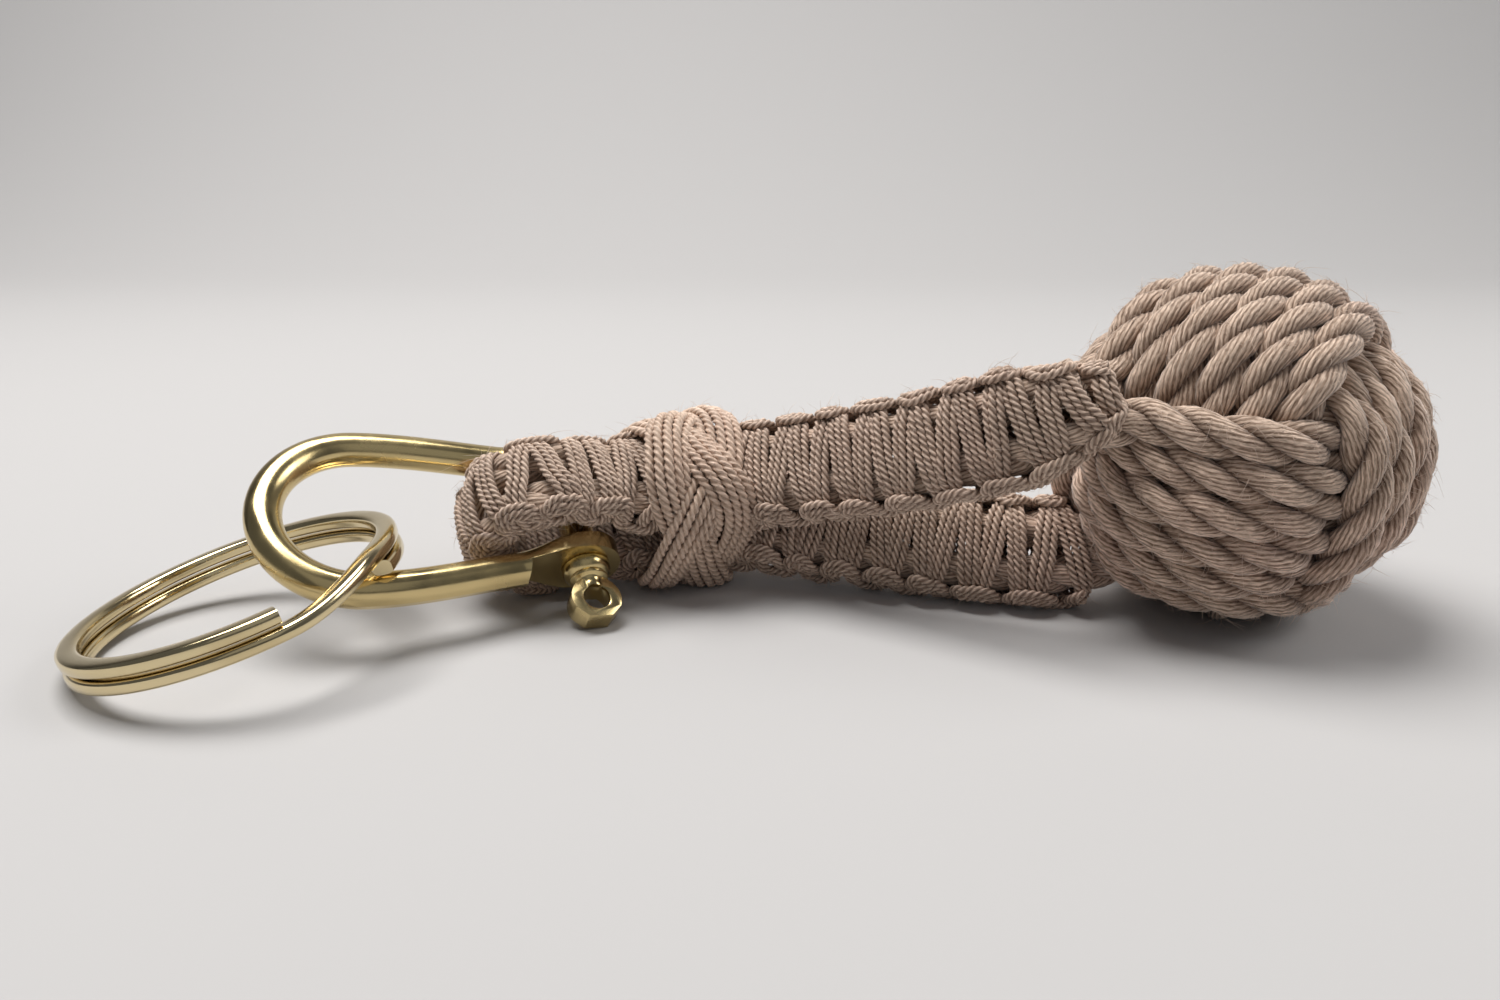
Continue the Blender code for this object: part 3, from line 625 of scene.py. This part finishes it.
def turnPoint(band, degrees, offset):
    def bent(value):
        return math.copysign(abs(value) ** (2 / ball["squareness"]), value)
    half = ball["pitches"][band] * (ball["turns"] - 1) / 2
    edge = ((offset - ball["shifts"][band]) / half) ** 2
    angle = math.radians(degrees)
    point = Vector((0.0, 0.0, 0.0))
    outer = ball["outerReach"] * (1 - ball["edgeDraw"] * edge)
    inner = ball["innerReach"] * (1 - ball["edgeDive"] * edge)
    point[band] = outer * bent(math.cos(angle))
    point[(band + 1) % 3] = inner * bent(math.sin(angle))
    point[(band + 2) % 3] = offset
    return point


def bandPoints(band):
    start, direction, firstSide = ball["bands"][band]
    pitch = ball["pitches"][band]
    half = pitch * (ball["turns"] - 1) / 2
    sweep = 360 * (ball["turns"] - ball["shortBy"])
    count = round(sweep * ball["pointsPerTurn"] / 360)
    points = []
    for i in range(count + 1):
        travelled = sweep * i / count
        turn, part = divmod(travelled, 360)
        steps = turn + easeOver(part, *ball["shift"])
        offset = firstSide * (half - steps * pitch) + ball["shifts"][band]
        points.append(turnPoint(band, start + direction * travelled, offset))
    return points


def spreadApart(points):
    points = points.copy()
    spacing, outside = ball["spacing"], ball["outerReach"] + ball["outerSlack"]
    parts = spreading["parts"]
    segment = np.repeat(np.arange(len(points) - 1), parts)
    share = np.tile(np.arange(parts) / parts, len(points) - 1)
    for turn in range(spreading["rounds"]):
        line = points[segment] * (1 - share[:, None]) + points[segment + 1] * share[:, None]
        if turn % spreading["refresh"] == 0:
            length = lengthAlong(line)
            between = np.linalg.norm(line[:, None, :] - line[None, :, :], axis=2)
            first, second = np.nonzero(between < spacing + spreading["margin"])
            far = length[second] - length[first] > spreading["alongCord"]
            first, second = first[far], second[far]
        way = line[second] - line[first]
        distance = np.linalg.norm(way, axis=1)
        close = distance < spacing
        push = way[close] * ((spacing - distance[close]) / distance[close] / 2)[:, None]
        moved = np.zeros_like(points)
        touched = np.zeros(len(points))
        for ends, sign in ((first[close], -1), (second[close], 1)):
            places = (segment[ends], 1 - share[ends]), (segment[ends] + 1, share[ends])
            for knot, weight in places:
                np.add.at(moved, knot, sign * push * weight[:, None])
                np.add.at(touched, knot, weight)
        moved = moved / np.maximum(touched, 1)[:, None]
        moved[1:-1] += spreading["evening"] * ((points[:-2] + points[2:]) / 2 - points[1:-1])
        moved[[0, -1]] = 0
        points += moved
        reach = np.linalg.norm(points, axis=1)
        held = np.clip(reach, ball["coreReach"], outside) / reach
        held[[0, -1]] = 1
        points *= held[:, None]
    return points


def onwards(points, i):    # the points' way beyond point i
    return (points[i + 1] - points[i]).normalized() * ball["lead"]


def ballRoute():
    axes = ballAxes()
    toBall = axes.transposed()
    centre, way, width, _ = loopFrames(np.array([ball["from"] * mm]))
    middle, heading, side = [Vector(rows[0]) for rows in (centre / mm, way, width)]
    ends = []
    for sign in (1, -1):
        place = middle + side * sign * loop["cordSpacing"] / 2
        ends.append((toBall @ (place - Vector(ball["centre"])), toBall @ -heading))
    (outlet, outletWay), (inlet, inletWay) = ends
    bands = [bandPoints(band) for band in range(3)]
    cut, endCut = ball["cut"], ball["endCut"]
    first, last = bands[0], bands[2]
    points = hermite(
        inlet, inletWay * ball["lead"], first[endCut], onwards(first, endCut), ball["endSteps"])
    points += first[endCut + 1:-cut]
    for before, after in zip(bands, bands[1:]):
        arrive = onwards(before, len(before) - cut - 2)
        points += hermite(
            before[-cut - 1], arrive, after[cut], onwards(after, cut), ball["joinSteps"])[1:-1]
        points += after[cut:-(cut if after is bands[1] else endCut)]
    arrive = onwards(last, len(last) - endCut - 2)
    points += hermite(points[-1], arrive, outlet, -outletWay * ball["lead"], ball["endSteps"])[1:]
    line = asArray(points)
    line = respaced(line, lengthAlong(line)[-1] / (3 * ball["turns"] * ball["pointsPerTurn"]))
    line = smoothed(respaced(spreadApart(line), ball["step"]), ball["smoothing"])
    line = line @ np.array(axes).T + ballMiddle
    low = np.minimum(line[:, 2] - ball["floor"], 0)
    line[:, 2] -= low * ball["flattened"]
    return line * mm


def strandProfile(radius):
    yarns = cordLook["yarns"]
    return lobedProfile(radius * mm, yarns, ball["yarnDepth"], yarns * 3)


ballLine = ballRoute()
print("ball cord: %.2f m" % lengthAlong(ballLine)[-1])
ballStrands = laidStrands(
    ballLine, ball["lay"] * mm, ball["strandReach"] * mm, ball["wander"])
for number, strand in enumerate(ballStrands, 1):
    piece = cordMesh(
        "fist_strand_%d" % number, [strand], strandProfile(ball["strandRadius"]),
        [tiltsFor(strand, ball["yarnPitch"] * mm)], [1 + wavy(len(strand), *ball["uneven"])])
    markCrevices(piece.data, ballLine, *ball["crevices"])
    finished(piece, cordMaterial, "lanyard", ("fist_cord",))
print("ball made")


# The two cords inside the sinnet

core = {
    "lay": 15.5, "strandRadius": 1.16, "strandReach": 1.03, "spacing": 5.2, "step": 0.9,
    "from": 0.3, "beyond": 7.0, "smoothing": 3, "wander": (24, 0.2)}
corePlaces = np.arange(core["from"] * mm, routeLength[-1] + core["beyond"] * mm, core["step"] * mm)
coreCentre, _, coreWidth, _ = loopFrames(corePlaces)
for word, sign in (("upper", 1), ("lower", -1)):
    line = smoothed(coreCentre + coreWidth * sign * core["spacing"] / 2 * mm, core["smoothing"])
    strands = laidStrands(line, core["lay"] * mm, core["strandReach"] * mm, core["wander"])
    piece = cordMesh(
        "loop_cord_strands_" + word, strands, strandProfile(core["strandRadius"]),
        [tiltsFor(strand, ball["yarnPitch"] * mm) for strand in strands])
    finished(piece, cordMaterial, "lanyard", ("loop_cord_" + word,))
print("cords inside the sinnet made")


# Square-knot sinnet: two bundles of three twines, which cross on opposite faces of the band

sinnet = {
    "pitch": 5.2, "twines": 3, "twine": 0.98, "spacing": 0.87, "halfWidth": 5.15, "halfThick": 2.66,
    "squareness": 0.72, "step": 0.22, "twist": 2.3, "start": -2.5, "end": 1.5, "curveSteps": 12,
    "plyDepth": 0.36, "plyPoints": 12, "crown": 0.12, "armShare": 0.37,
    "pinReach": (16.0, 18.5), "pinRamp": 4.0, "pinLift": 0.5, "pinWidth": 0.87,
    "neckPlaces": (0, 3, 10), "neckWidths": (0.25, 0.62, 1.0), "neckThicks": (0.4, 0.9, 1.0),
    "apartWander": (30, 0.10), "proudWander": (24, 0.08),    # points apart, size
    "floor": 0.5, "crevices": (0.34, 0.46)}
# how unevenly the knots are tied, in knot lengths, degrees and mm
uneven = {"slide": 0.035, "lean": 0.07, "place": 0.008, "degrees": 2.0, "lift": 0.05}

# one knot of the bundle that crosses the inner face: share of the knot's length, degrees round the
# band from its upper edge, lift in mm, and how far the bundle's twines spread
innerBundle = [
    (0.00, -22, 0.85, 0.74), (0.16, -21, 0.82, 0.70), (0.28, -16, 0.70, 0.55),
    (0.36, -4, 0.45, 0.40), (0.375, 14, 0.15, 0.45), (0.35, 36, 0.0, 0.78), (0.31, 62, 0.0, 0.9),
    (0.25, 90, 0.0, 0.92), (0.19, 118, 0.0, 0.9), (0.15, 144, 0.0, 0.78), (0.125, 166, 0.15, 0.45),
    (0.14, 184, 0.45, 0.40), (0.22, 196, 0.70, 0.55), (0.34, 201, 0.82, 0.70)]
innerBundle += [
    (share + 0.5, 180 - degrees, lift, spread) for share, degrees, lift, spread in innerBundle]
outerBundle = [
    (share, degrees + 180, lift, spread) for share, degrees, lift, spread in innerBundle]


def besidePin(places, least):    # falls to least between the ears
    fromMiddle = places / mm - routeLength[-1] / 2 / mm
    beyond = np.abs(fromMiddle) - np.where(fromMiddle < 0, *sinnet["pinReach"])
    return np.interp(beyond, (0, sinnet["pinRamp"]), (least, 1.0))


def bandPlace(places, angles, lift):    # points on the band, with their outward directions
    centre, way, width, thick = loopFrames(places)
    wide, high = squaredOff(angles, sinnet["squareness"])
    out = unitRows(
        width * (np.cos(angles) * sinnet["halfThick"])[:, None]
        + thick * (np.sin(angles) * sinnet["halfWidth"])[:, None])
    neck = places / mm - sinnet["start"], sinnet["neckPlaces"]
    halfWidth = sinnet["halfWidth"] * mm * np.interp(*neck, sinnet["neckWidths"])
    halfWidth *= besidePin(places, sinnet["pinWidth"])
    halfThick = sinnet["halfThick"] * mm * np.interp(*neck, sinnet["neckThicks"])
    points = centre + width * (wide * halfWidth)[:, None] + thick * (high * halfThick)[:, None]
    return points + out * lift[:, None], out


def bundleRows(pattern, knots):
    rows = []
    for k in range(knots):
        slide = dice.gauss(0, uneven["slide"])
        lean = dice.gauss(0, uneven["lean"])
        for share, degrees, lift, spread in pattern:
            tilt = lean * math.cos(math.radians(degrees))
            place = k + share + slide + tilt + dice.gauss(0, uneven["place"])
            angle = degrees + dice.gauss(0, uneven["degrees"])
            rows.append((place, angle, max(0.0, lift + dice.gauss(0, uneven["lift"])), spread))
    return rows


def twineLines(rows):
    dense = catmull(rows, sinnet["curveSteps"])
    places = (sinnet["start"] + dense[:, 0] * sinnet["pitch"]) * mm
    lift = dense[:, 2] * besidePin(places, sinnet["pinLift"])
    points, out = bandPlace(places, np.radians(dense[:, 1]), lift * mm)
    side = unitRows(np.cross(out, headings(points)))
    half = (sinnet["twines"] - 1) / 2
    lines = []
    for j in range(sinnet["twines"]):
        apart = 1 + wavy(len(dense), *sinnet["apartWander"])
        offset = (j - half) * sinnet["spacing"] * mm * dense[:, 3] * apart
        proud = wavy(len(dense), *sinnet["proudWander"]) * mm
        proud += sinnet["crown"] * mm * (1 - abs(j / half - 1))
        line = smoothed(points + side * offset[:, None] + out * proud[:, None], 2)
        line[:, 2] = np.maximum(line[:, 2], sinnet["floor"] * mm)
        lines.append(line)
    return lines, out


def anyTurn():    # each twine's plies start at a turn of their own
    return dice.random() * 6


twineProfile = lobedProfile(
    sinnet["twine"] / 2 * mm, twineLook["yarns"], sinnet["plyDepth"], sinnet["plyPoints"])
span = routeLength[-1] / mm + sinnet["end"] - sinnet["start"]
knotCount = round(span / sinnet["pitch"])
sinnet["pitch"] = span / knotCount
knotsInArm = round(knotCount * sinnet["armShare"])
stretchEnds = (0, knotsInArm, round(knotCount * (1 - sinnet["armShare"])), knotCount)
sinnetRoots = []
for word, pattern in (("inner", innerBundle), ("outer", outerBundle)):
    rows = bundleRows(pattern, knotCount)
    for i, stretch in enumerate(("upper_arm", "bight", "lower_arm")):
        first = stretchEnds[i] * len(pattern)
        last = min(stretchEnds[i + 1] * len(pattern) + 1, len(rows))
        lines, out = twineLines(rows[first:last])
        sinnetRoots += [(line, out) for line in lines]
        lines = [respaced(line, sinnet["step"] * mm) for line in lines]
        piece = cordMesh(
            "sinnet_%s_%s" % (stretch, word), lines, twineProfile,
            [tiltsFor(line, sinnet["twist"] * mm, anyTurn()) for line in lines])
        markCrevices(piece.data, np.vstack(lines), *sinnet["crevices"])
        finished(piece, twineMaterial, "lanyard", ("sinnet_" + stretch,))
print("sinnet made:", knotCount, "knots")


# Turk's head round both arms

collar = {
    "leads": 3, "bights": 4, "strands": 5, "spacing": 1.0, "halfLength": 3.7, "halfHigh": 8.5,
    "halfWide": 6.9, "lift": 1.0, "weave": 0.62, "squareness": 0.80, "crown": 0.7, "floor": 0.6,
    "thick": 1.2, "points": 900,
    "apartWander": (60, 0.05), "proudWander": (40, 0.06), "thickWander": (12, 0.04)}


def collarLines():
    turns = np.linspace(0, 2 * math.pi * collar["leads"], collar["points"])
    swing = turns * collar["bights"] / collar["leads"]
    wide, high = squaredOff(turns, collar["squareness"])
    base = np.outer(wide * collar["halfWide"], across) + np.outer(high * collar["halfHigh"], up)
    out = unitRows(
        np.outer(np.cos(turns) * collar["halfHigh"], across)
        + np.outer(np.sin(turns) * collar["halfWide"], up))
    forward = np.outer(np.sin(swing) * collar["halfLength"], run)
    lift = collar["lift"] + collar["weave"] * np.sin(2 * swing)
    points = (np.array(collarCentre) + base + forward + out * lift[:, None]) * mm
    side = unitRows(np.cross(out, headings(points)))
    lines = []
    for j in range(collar["strands"]):
        share = 2 * j / (collar["strands"] - 1) - 1
        apart = 1 + wavy(collar["points"], *collar["apartWander"])
        offset = share * (collar["strands"] - 1) / 2 * collar["spacing"] * apart
        proud = collar["crown"] * (1 - share ** 2)
        proud = proud + wavy(collar["points"], *collar["proudWander"])
        line = smoothed(points + (side * offset[:, None] + out * proud[:, None]) * mm, 2)
        line[:, 2] = np.maximum(line[:, 2], collar["floor"] * mm)
        lines.append(line)
    return lines, out


collarRows, collarOut = collarLines()
collarTwines = [respaced(line, sinnet["step"] * mm) for line in collarRows]
collarTwist = sinnet["twist"] * collar["thick"] * mm
piece = cordMesh(
    "turks_head", collarTwines, twineProfile,
    [tiltsFor(line, collarTwist, anyTurn()) for line in collarTwines],
    [collar["thick"] + wavy(len(line), *collar["thickWander"]) for line in collarTwines])
collarCrevices = [collar["thick"] * reach for reach in sinnet["crevices"]]
markCrevices(piece.data, np.vstack(collarTwines), *collarCrevices)
finished(piece, paintedLitCollarMaterial, "lanyard", ("turks_head_collar",))
print("turk's head made")


# Loose fibres standing off the cord and the twine

fuzz = {
    "ball": 6500, "sinnet": 2600, "collar": 900, "radius": 0.023, "shortest": 0.3, "longest": 1.8,
    "longer": 2.2, "leanAlong": 0.9, "leanAside": 0.5, "curl": 0.8, "droop": 0.6, "spin": 0.5,
    "bends": (0, 0.3, 0.65, 1.0), "taper": (1.0, 0.8, 0.55, 0.25),
    "fromStrand": 0.9, "fromTwine": 0.42, "shownDepth": 0.6}
hairProfile = lobedProfile(fuzz["radius"] * mm, 0, 0.0, 4)


def hairs(roots, count, fromLine):    # roots: rows of a line with its outward directions
    lines = []
    for _ in range(count):
        line, out = dice.choice(roots)
        place = dice.randrange(2, len(line) - 2)
        outward = Vector(out[place])
        way = Vector(line[place + 1] - line[place - 1]).normalized()
        side = outward.cross(way)
        lean = outward + way * dice.gauss(0, fuzz["leanAlong"])
        lean = (lean + side * dice.gauss(0, fuzz["leanAside"])).normalized()
        curl = way * dice.gauss(0, fuzz["curl"]) + side * dice.gauss(0, fuzz["curl"])
        curl = curl - outward * dice.random() * fuzz["droop"]
        angle = dice.gauss(0, fuzz["spin"])
        away = outward * math.cos(angle) + side * math.sin(angle)
        root = Vector(line[place]) + away * fromLine * mm
        longer = (fuzz["longest"] - fuzz["shortest"]) * dice.random() ** fuzz["longer"]
        reach = (fuzz["shortest"] + longer) * mm
        hair = np.array([root + (lean * t + curl * t * t) * reach for t in fuzz["bends"]])
        hair[:, 2] = np.maximum(hair[:, 2], 2 * fuzz["radius"] * mm)
        lines.append(hair)
    return lines


def outerRoots(strand):    # a strand's parts at the ball's outside
    fromMiddle = strand / mm - ballMiddle
    shown = np.linalg.norm(fromMiddle, axis=1) > ball["outerReach"] - fuzz["shownDepth"]
    return strand[shown], unitRows(fromMiddle)[shown]


ballRoots = [outerRoots(strand) for strand in ballStrands]
collarRoots = [(line, collarOut) for line in collarRows]
fromTwine = sinnet["twine"] * fuzz["fromTwine"]
for name, roots, count, fromLine in (
        ("fist_fuzz", ballRoots, fuzz["ball"], ball["strandRadius"] * fuzz["fromStrand"]),
        ("sinnet_fuzz", sinnetRoots, fuzz["sinnet"], fromTwine),
        ("collar_fuzz", collarRoots, fuzz["collar"], fromTwine)):
    hairLines = hairs(roots, count, fromLine)
    piece = cordMesh(name, hairLines, hairProfile, radii=[fuzz["taper"]] * len(hairLines))
    finished(piece, fuzzMaterial, "lanyard")
print("fuzz made")


# Brass shackle

shackle = {
    "run": (-0.906, -0.407, 0.115), "wire": 1.9, "jaw": 5.5, "earOuter": 7.5, "earRadius": 3.9,
    "pad": 6.7, "padDepth": 4, "padSides": 96, "leg": 23.2, "bow": 9.5, "inset": 6.95,
    "hole": 2.05, "holeDepth": 30, "ridge": 0.08, "ridgeFade": 2.5, "sides": 40, "bevel": 0.09,
    "toWire": (1.0, 6.4), "toRound": (2.8, 4.2), "earBoxiness": 0.22,    # start, length
    "earSteps": (0.0, 2.0, 3.2, 4.4, 5.0, 5.6, 6.2, 6.8, 7.4, 8.0, 8.6, 9.2, 9.8),
    "legFrom": 10.4, "legSteps": 8, "bowSteps": 36}
shackleRun = squareTo(Vector(shackle["run"]), pinAxis)
shackleUp = pinAxis.cross(shackleRun)


def legOffset(x):
    return shackle["inset"] + (shackle["bow"] - shackle["inset"]) * ease(x / shackle["leg"])


def legSection(x, side):    # an ear's or leg's section, x mm from the pin towards the bow
    wire = shackle["wire"]
    outerFace = legOffset(x) + wire
    innerFace = max(shackle["jaw"], legOffset(x) - wire)
    toWire = easeOver(x, *shackle["toWire"])
    toRound = easeOver(x, *shackle["toRound"])
    high = shackle["earRadius"] + (wire - shackle["earRadius"]) * toWire
    boxiness = shackle["earBoxiness"] + (1 - shackle["earBoxiness"]) * toRound
    middle = pinCentre + shackleRun * x + pinAxis * side * (innerFace + outerFace) / 2
    halves = ((outerFace - innerFace) / 2, high)
    return middle, pinAxis * side, shackleUp, halves, boxiness, shackle["ridge"] * toWire


legFrom, legSteps = shackle["legFrom"], shackle["legSteps"]
steps = list(shackle["earSteps"])
steps += [legFrom + (shackle["leg"] - legFrom) * i / legSteps for i in range(legSteps + 1)]
sections = [legSection(x, 1) for x in steps]
bowCentre = pinCentre + shackleRun * shackle["leg"]
for i in range(1, shackle["bowSteps"]):
    angle = math.pi * i / shackle["bowSteps"]
    out = pinAxis * math.cos(angle) + shackleRun * math.sin(angle)
    sections.append((
        bowCentre + out * shackle["bow"], out, shackleUp, (shackle["wire"], shackle["wire"]), 1.0,
        shackle["ridge"] * (1 - ease(shackle["ridgeFade"] * math.sin(angle)))))
sections += [legSection(x, -1) for x in reversed(steps)]
shackleSolid = loftMesh("shackle_body", sections, shackle["sides"])
tools = []
for side in (1, -1):
    middle = pinCentre + pinAxis * side * (shackle["jaw"] + shackle["earOuter"]) / 2
    sizes = shackle["earRadius"], shackle["earOuter"] - shackle["jaw"]
    tools.append((drum("ear", middle, pinAxis, *sizes), "UNION"))
for side in (1, -1):
    middle = pinCentre + pinAxis * side * (shackle["earOuter"] + shackle["padDepth"] / 2)
    sizes = [shackle[key] for key in ("pad", "padDepth", "padSides")]
    tools.append((drum("ear_flat", middle, pinAxis, *sizes), "DIFFERENCE"))
hole = drum("pin_hole", pinCentre, pinAxis, shackle["hole"], shackle["holeDepth"])
tools.append((hole, "DIFFERENCE"))
piece = combined(shackleSolid, tools, shackle["bevel"])
finished(piece, brassSolid, "shackle", ("shackle_bow",))
print("shackle made:", len(piece.data.polygons), "faces")


# Screw pin, turned, with a flat eye

pin = {
    "turned": (    # radius and height along the pin, from its tail to inside the eye
        (0.0, -7.65), (1.5, -7.65), (1.72, -7.55), (1.9, -7.3), (1.9, 7.53), (2.5, 7.55),
        (2.64, 7.66), (2.66, 7.95), (2.63, 8.25), (2.52, 8.55), (2.34, 8.82), (2.1, 9.02),
        (1.95, 9.08), (1.9, 9.15), (1.95, 9.22), (2.12, 9.28), (2.16, 9.38), (2.08, 9.5),
        (1.8, 9.64), (1.62, 9.8), (1.52, 10.0), (1.5, 10.4), (1.5, 11.0), (0.0, 11.0)),
    "eyeFrom": 12.35, "eyeRadius": 2.75, "eyeThick": 2.45, "eyeHole": 1.5, "eyeHoleDepth": 8,
    "eyeFace": (0.35, -0.5, 0.8), "endCut": 2.4, "sideCut": 2.6, "sides": 56, "bevel": 0.14}
bm = bmesh.new()
knots = [bm.verts.new((radius * mm, 0.0, height * mm)) for radius, height in pin["turned"]]
edges = [bm.edges.new(pair) for pair in zip(knots, knots[1:])]
bmesh.ops.spin(
    bm, geom=knots + edges, cent=(0, 0, 0), axis=(0, 0, 1), angle=2 * math.pi, steps=pin["sides"],
    use_merge=True)
bmesh.ops.remove_doubles(bm, verts=bm.verts, dist=nearness["spun"] * mm)
bmesh.ops.transform(bm, matrix=placedAlong(pinAxis, pinCentre), verts=bm.verts)
pinSolid = solidPiece("screw_pin", bm)
eyeFace = squareTo(Vector(pin["eyeFace"]), pinAxis)
eyeCentre = pinCentre + pinAxis * pin["eyeFrom"]
bm = bmesh.new()
addDrum(bm, eyeCentre, eyeFace, pin["eyeRadius"], pin["eyeThick"])
eyeSide = eyeFace.cross(pinAxis)
sideWays = [(pinAxis + eyeSide * sign, pin["sideCut"]) for sign in (1, -1)]
for way, reach in [(pinAxis, pin["endCut"])] + sideWays:
    cut = bmesh.ops.bisect_plane(
        bm, geom=bm.verts[:] + bm.edges[:] + bm.faces[:], clear_outer=True,
        plane_co=(eyeCentre + way.normalized() * reach) * mm, plane_no=way.normalized())
    rim = [item for item in cut["geom_cut"] if isinstance(item, bmesh.types.BMEdge)]
    bmesh.ops.edgeloop_fill(bm, edges=rim)
plate = solidPiece("pin_eye", bm)
eyeHole = drum("eye_hole", eyeCentre, eyeFace, pin["eyeHole"], pin["eyeHoleDepth"])
piece = combined(pinSolid, [(plate, "UNION"), (eyeHole, "DIFFERENCE")], pin["bevel"])
finished(piece, brassSolid, "pin", ("shackle_pin",))
print("screw pin made:", len(piece.data.polygons), "faces")


# Split ring, two turns of flat wire

ring = {
    "outer": 34.0, "width": 2.2, "layer": 1.33, "gap": 0.44, "drawn": 1.52, "seat": 0.86,
    "normal": (-0.272, -0.035, 0.962), "toSeat": (0.966, 0.05, 0.254), "joggle": 45.0,
    "from": -50.0, "step": 2.5, "boxiness": 0.6, "sides": 24, "clearance": 0.3,
    "tangentReach": 0.02, "endGap": 2}    # degrees from the wire's end to the turn beside it


def legMiddle(share):
    x = share * shackle["leg"]
    return pinCentre + shackleRun * x + pinAxis * legOffset(x)


ringNormal = Vector(ring["normal"]).normalized()
toSeat = squareTo(Vector(ring["toSeat"]), ringNormal)
ringPitch = ring["layer"] + ring["gap"]
meanRadius = (ring["outer"] - ring["width"]) / 2
before, beyond = [legMiddle(ring["seat"] + sign * ring["tangentReach"]) for sign in (-1, 1)]
tangent = (beyond - before).normalized()
lean = abs(tangent.dot(ringNormal))
rise = (2 * shackle["wire"] + ring["width"] * lean) / 2 / math.sqrt(1 - lean ** 2)
rise += (ringPitch + ring["layer"]) / 2 + ring["clearance"]
ringCentre = legMiddle(ring["seat"]) + ringNormal * rise - toSeat * meanRadius
forward = squareTo(Vector((1, 0, 0)), ringNormal)
left = ringNormal.cross(forward)
sweep = 720 - ring["joggle"] - ring["endGap"]
turns = round(sweep / ring["step"])
sections = []
for i in range(turns + 1):
    travelled = sweep * i / turns
    share = easeOver(travelled, 360 - ring["joggle"], ring["joggle"])
    angle = math.radians(ring["from"] + ring["joggle"] + travelled)
    out = forward * math.cos(angle) + left * math.sin(angle)
    spot = ringCentre + out * meanRadius + ringNormal * ringPitch * (share - 0.5)
    halves = (ring["width"] / 2, ring["drawn"] / 2)
    sections.append((spot, out, ringNormal, halves, ring["boxiness"]))
piece = combined(loftMesh("split_ring_wire", sections, ring["sides"]), [], 0)
finished(piece, brassWire, "ring", ("split_ring",))
print("split ring made:", len(piece.data.polygons), "faces")


# Floor, backdrop and lights

stageLook = {
    "floor": (0.505, 0.496, 0.493, 1), "roughness": 0.95,
    "size": 3.0, "front": 3.0, "backFrom": 0.30, "backHigh": 1.2, "bend": 0.2,    # metres
    "bendSteps": 12, "world": (0.9, 0.93, 1.0, 1), "worldStrength": 0.12,
    "lights": (    # name, place and target in metres, size, watts and colour
        ("key", (-0.16, 0.10, 0.58), (0.0, 0.0, 0.01), 0.40, 4.9, (1.0, 0.985, 0.965)),
        ("fill", (0.15, -0.55, 0.40), (0.0, 0.0, 0.01), 0.6, 0.25, (0.98, 0.985, 1.0)),
        ("rim", (0.50, 0.02, 0.34), (0.04, 0.0, 0.02), 0.3, 1.35, (1.0, 0.99, 0.97)))}
back, bend, steps = [stageLook[key] for key in ("backFrom", "bend", "bendSteps")]
profile = [Vector((0, -stageLook["front"], 0)), Vector((0, back, 0))]
for i in range(1, steps + 1):
    angle = math.pi / 2 * i / steps
    profile.append(Vector((0, back + bend * math.sin(angle), bend * (1 - math.cos(angle)))))
profile.append(Vector((0, back + bend, stageLook["backHigh"])))
bm = bmesh.new()
knots = [bm.verts.new(point + Vector((-stageLook["size"], 0, 0))) for point in profile]
edges = [bm.edges.new(pair) for pair in zip(knots, knots[1:])]
swept = bmesh.ops.extrude_edge_only(bm, edges=edges)
moved = [item for item in swept["geom"] if isinstance(item, bmesh.types.BMVert)]
bmesh.ops.translate(bm, verts=moved, vec=(2 * stageLook["size"], 0, 0))
bmesh.ops.recalc_face_normals(bm, faces=bm.faces)
floorMesh = bpy.data.meshes.new("backdrop")
bm.to_mesh(floorMesh)
bm.free()
floorMesh.shade_smooth()
backdrop = linked("backdrop", floorMesh)
floorMaterial, tree, shader = newMaterial("pale_backdrop")
feed(tree, shader, {"Base Color": stageLook["floor"], "Roughness": stageLook["roughness"]})
backdrop.data.materials.append(floorMaterial)

for name, place, target, size, power, colour in stageLook["lights"]:
    lamp = bpy.data.lights.new(name, "AREA")
    lamp.shape = "SQUARE"
    lamp.size = size
    lamp.energy = power
    lamp.color = colour
    lampObject = linked(name, lamp)
    lampObject.location = place
    aim = Vector(target) - Vector(place)
    lampObject.rotation_euler = aim.to_track_quat("-Z", "Y").to_euler()
world = bpy.data.worlds.new("studio")
world.use_nodes = True
background = world.node_tree.nodes["Background"]
feed(world.node_tree, background, {
    "Color": stageLook["world"], "Strength": stageLook["worldStrength"]})
scene.world = world
scene.view_settings.view_transform = "Standard"
print("floor and lights set")
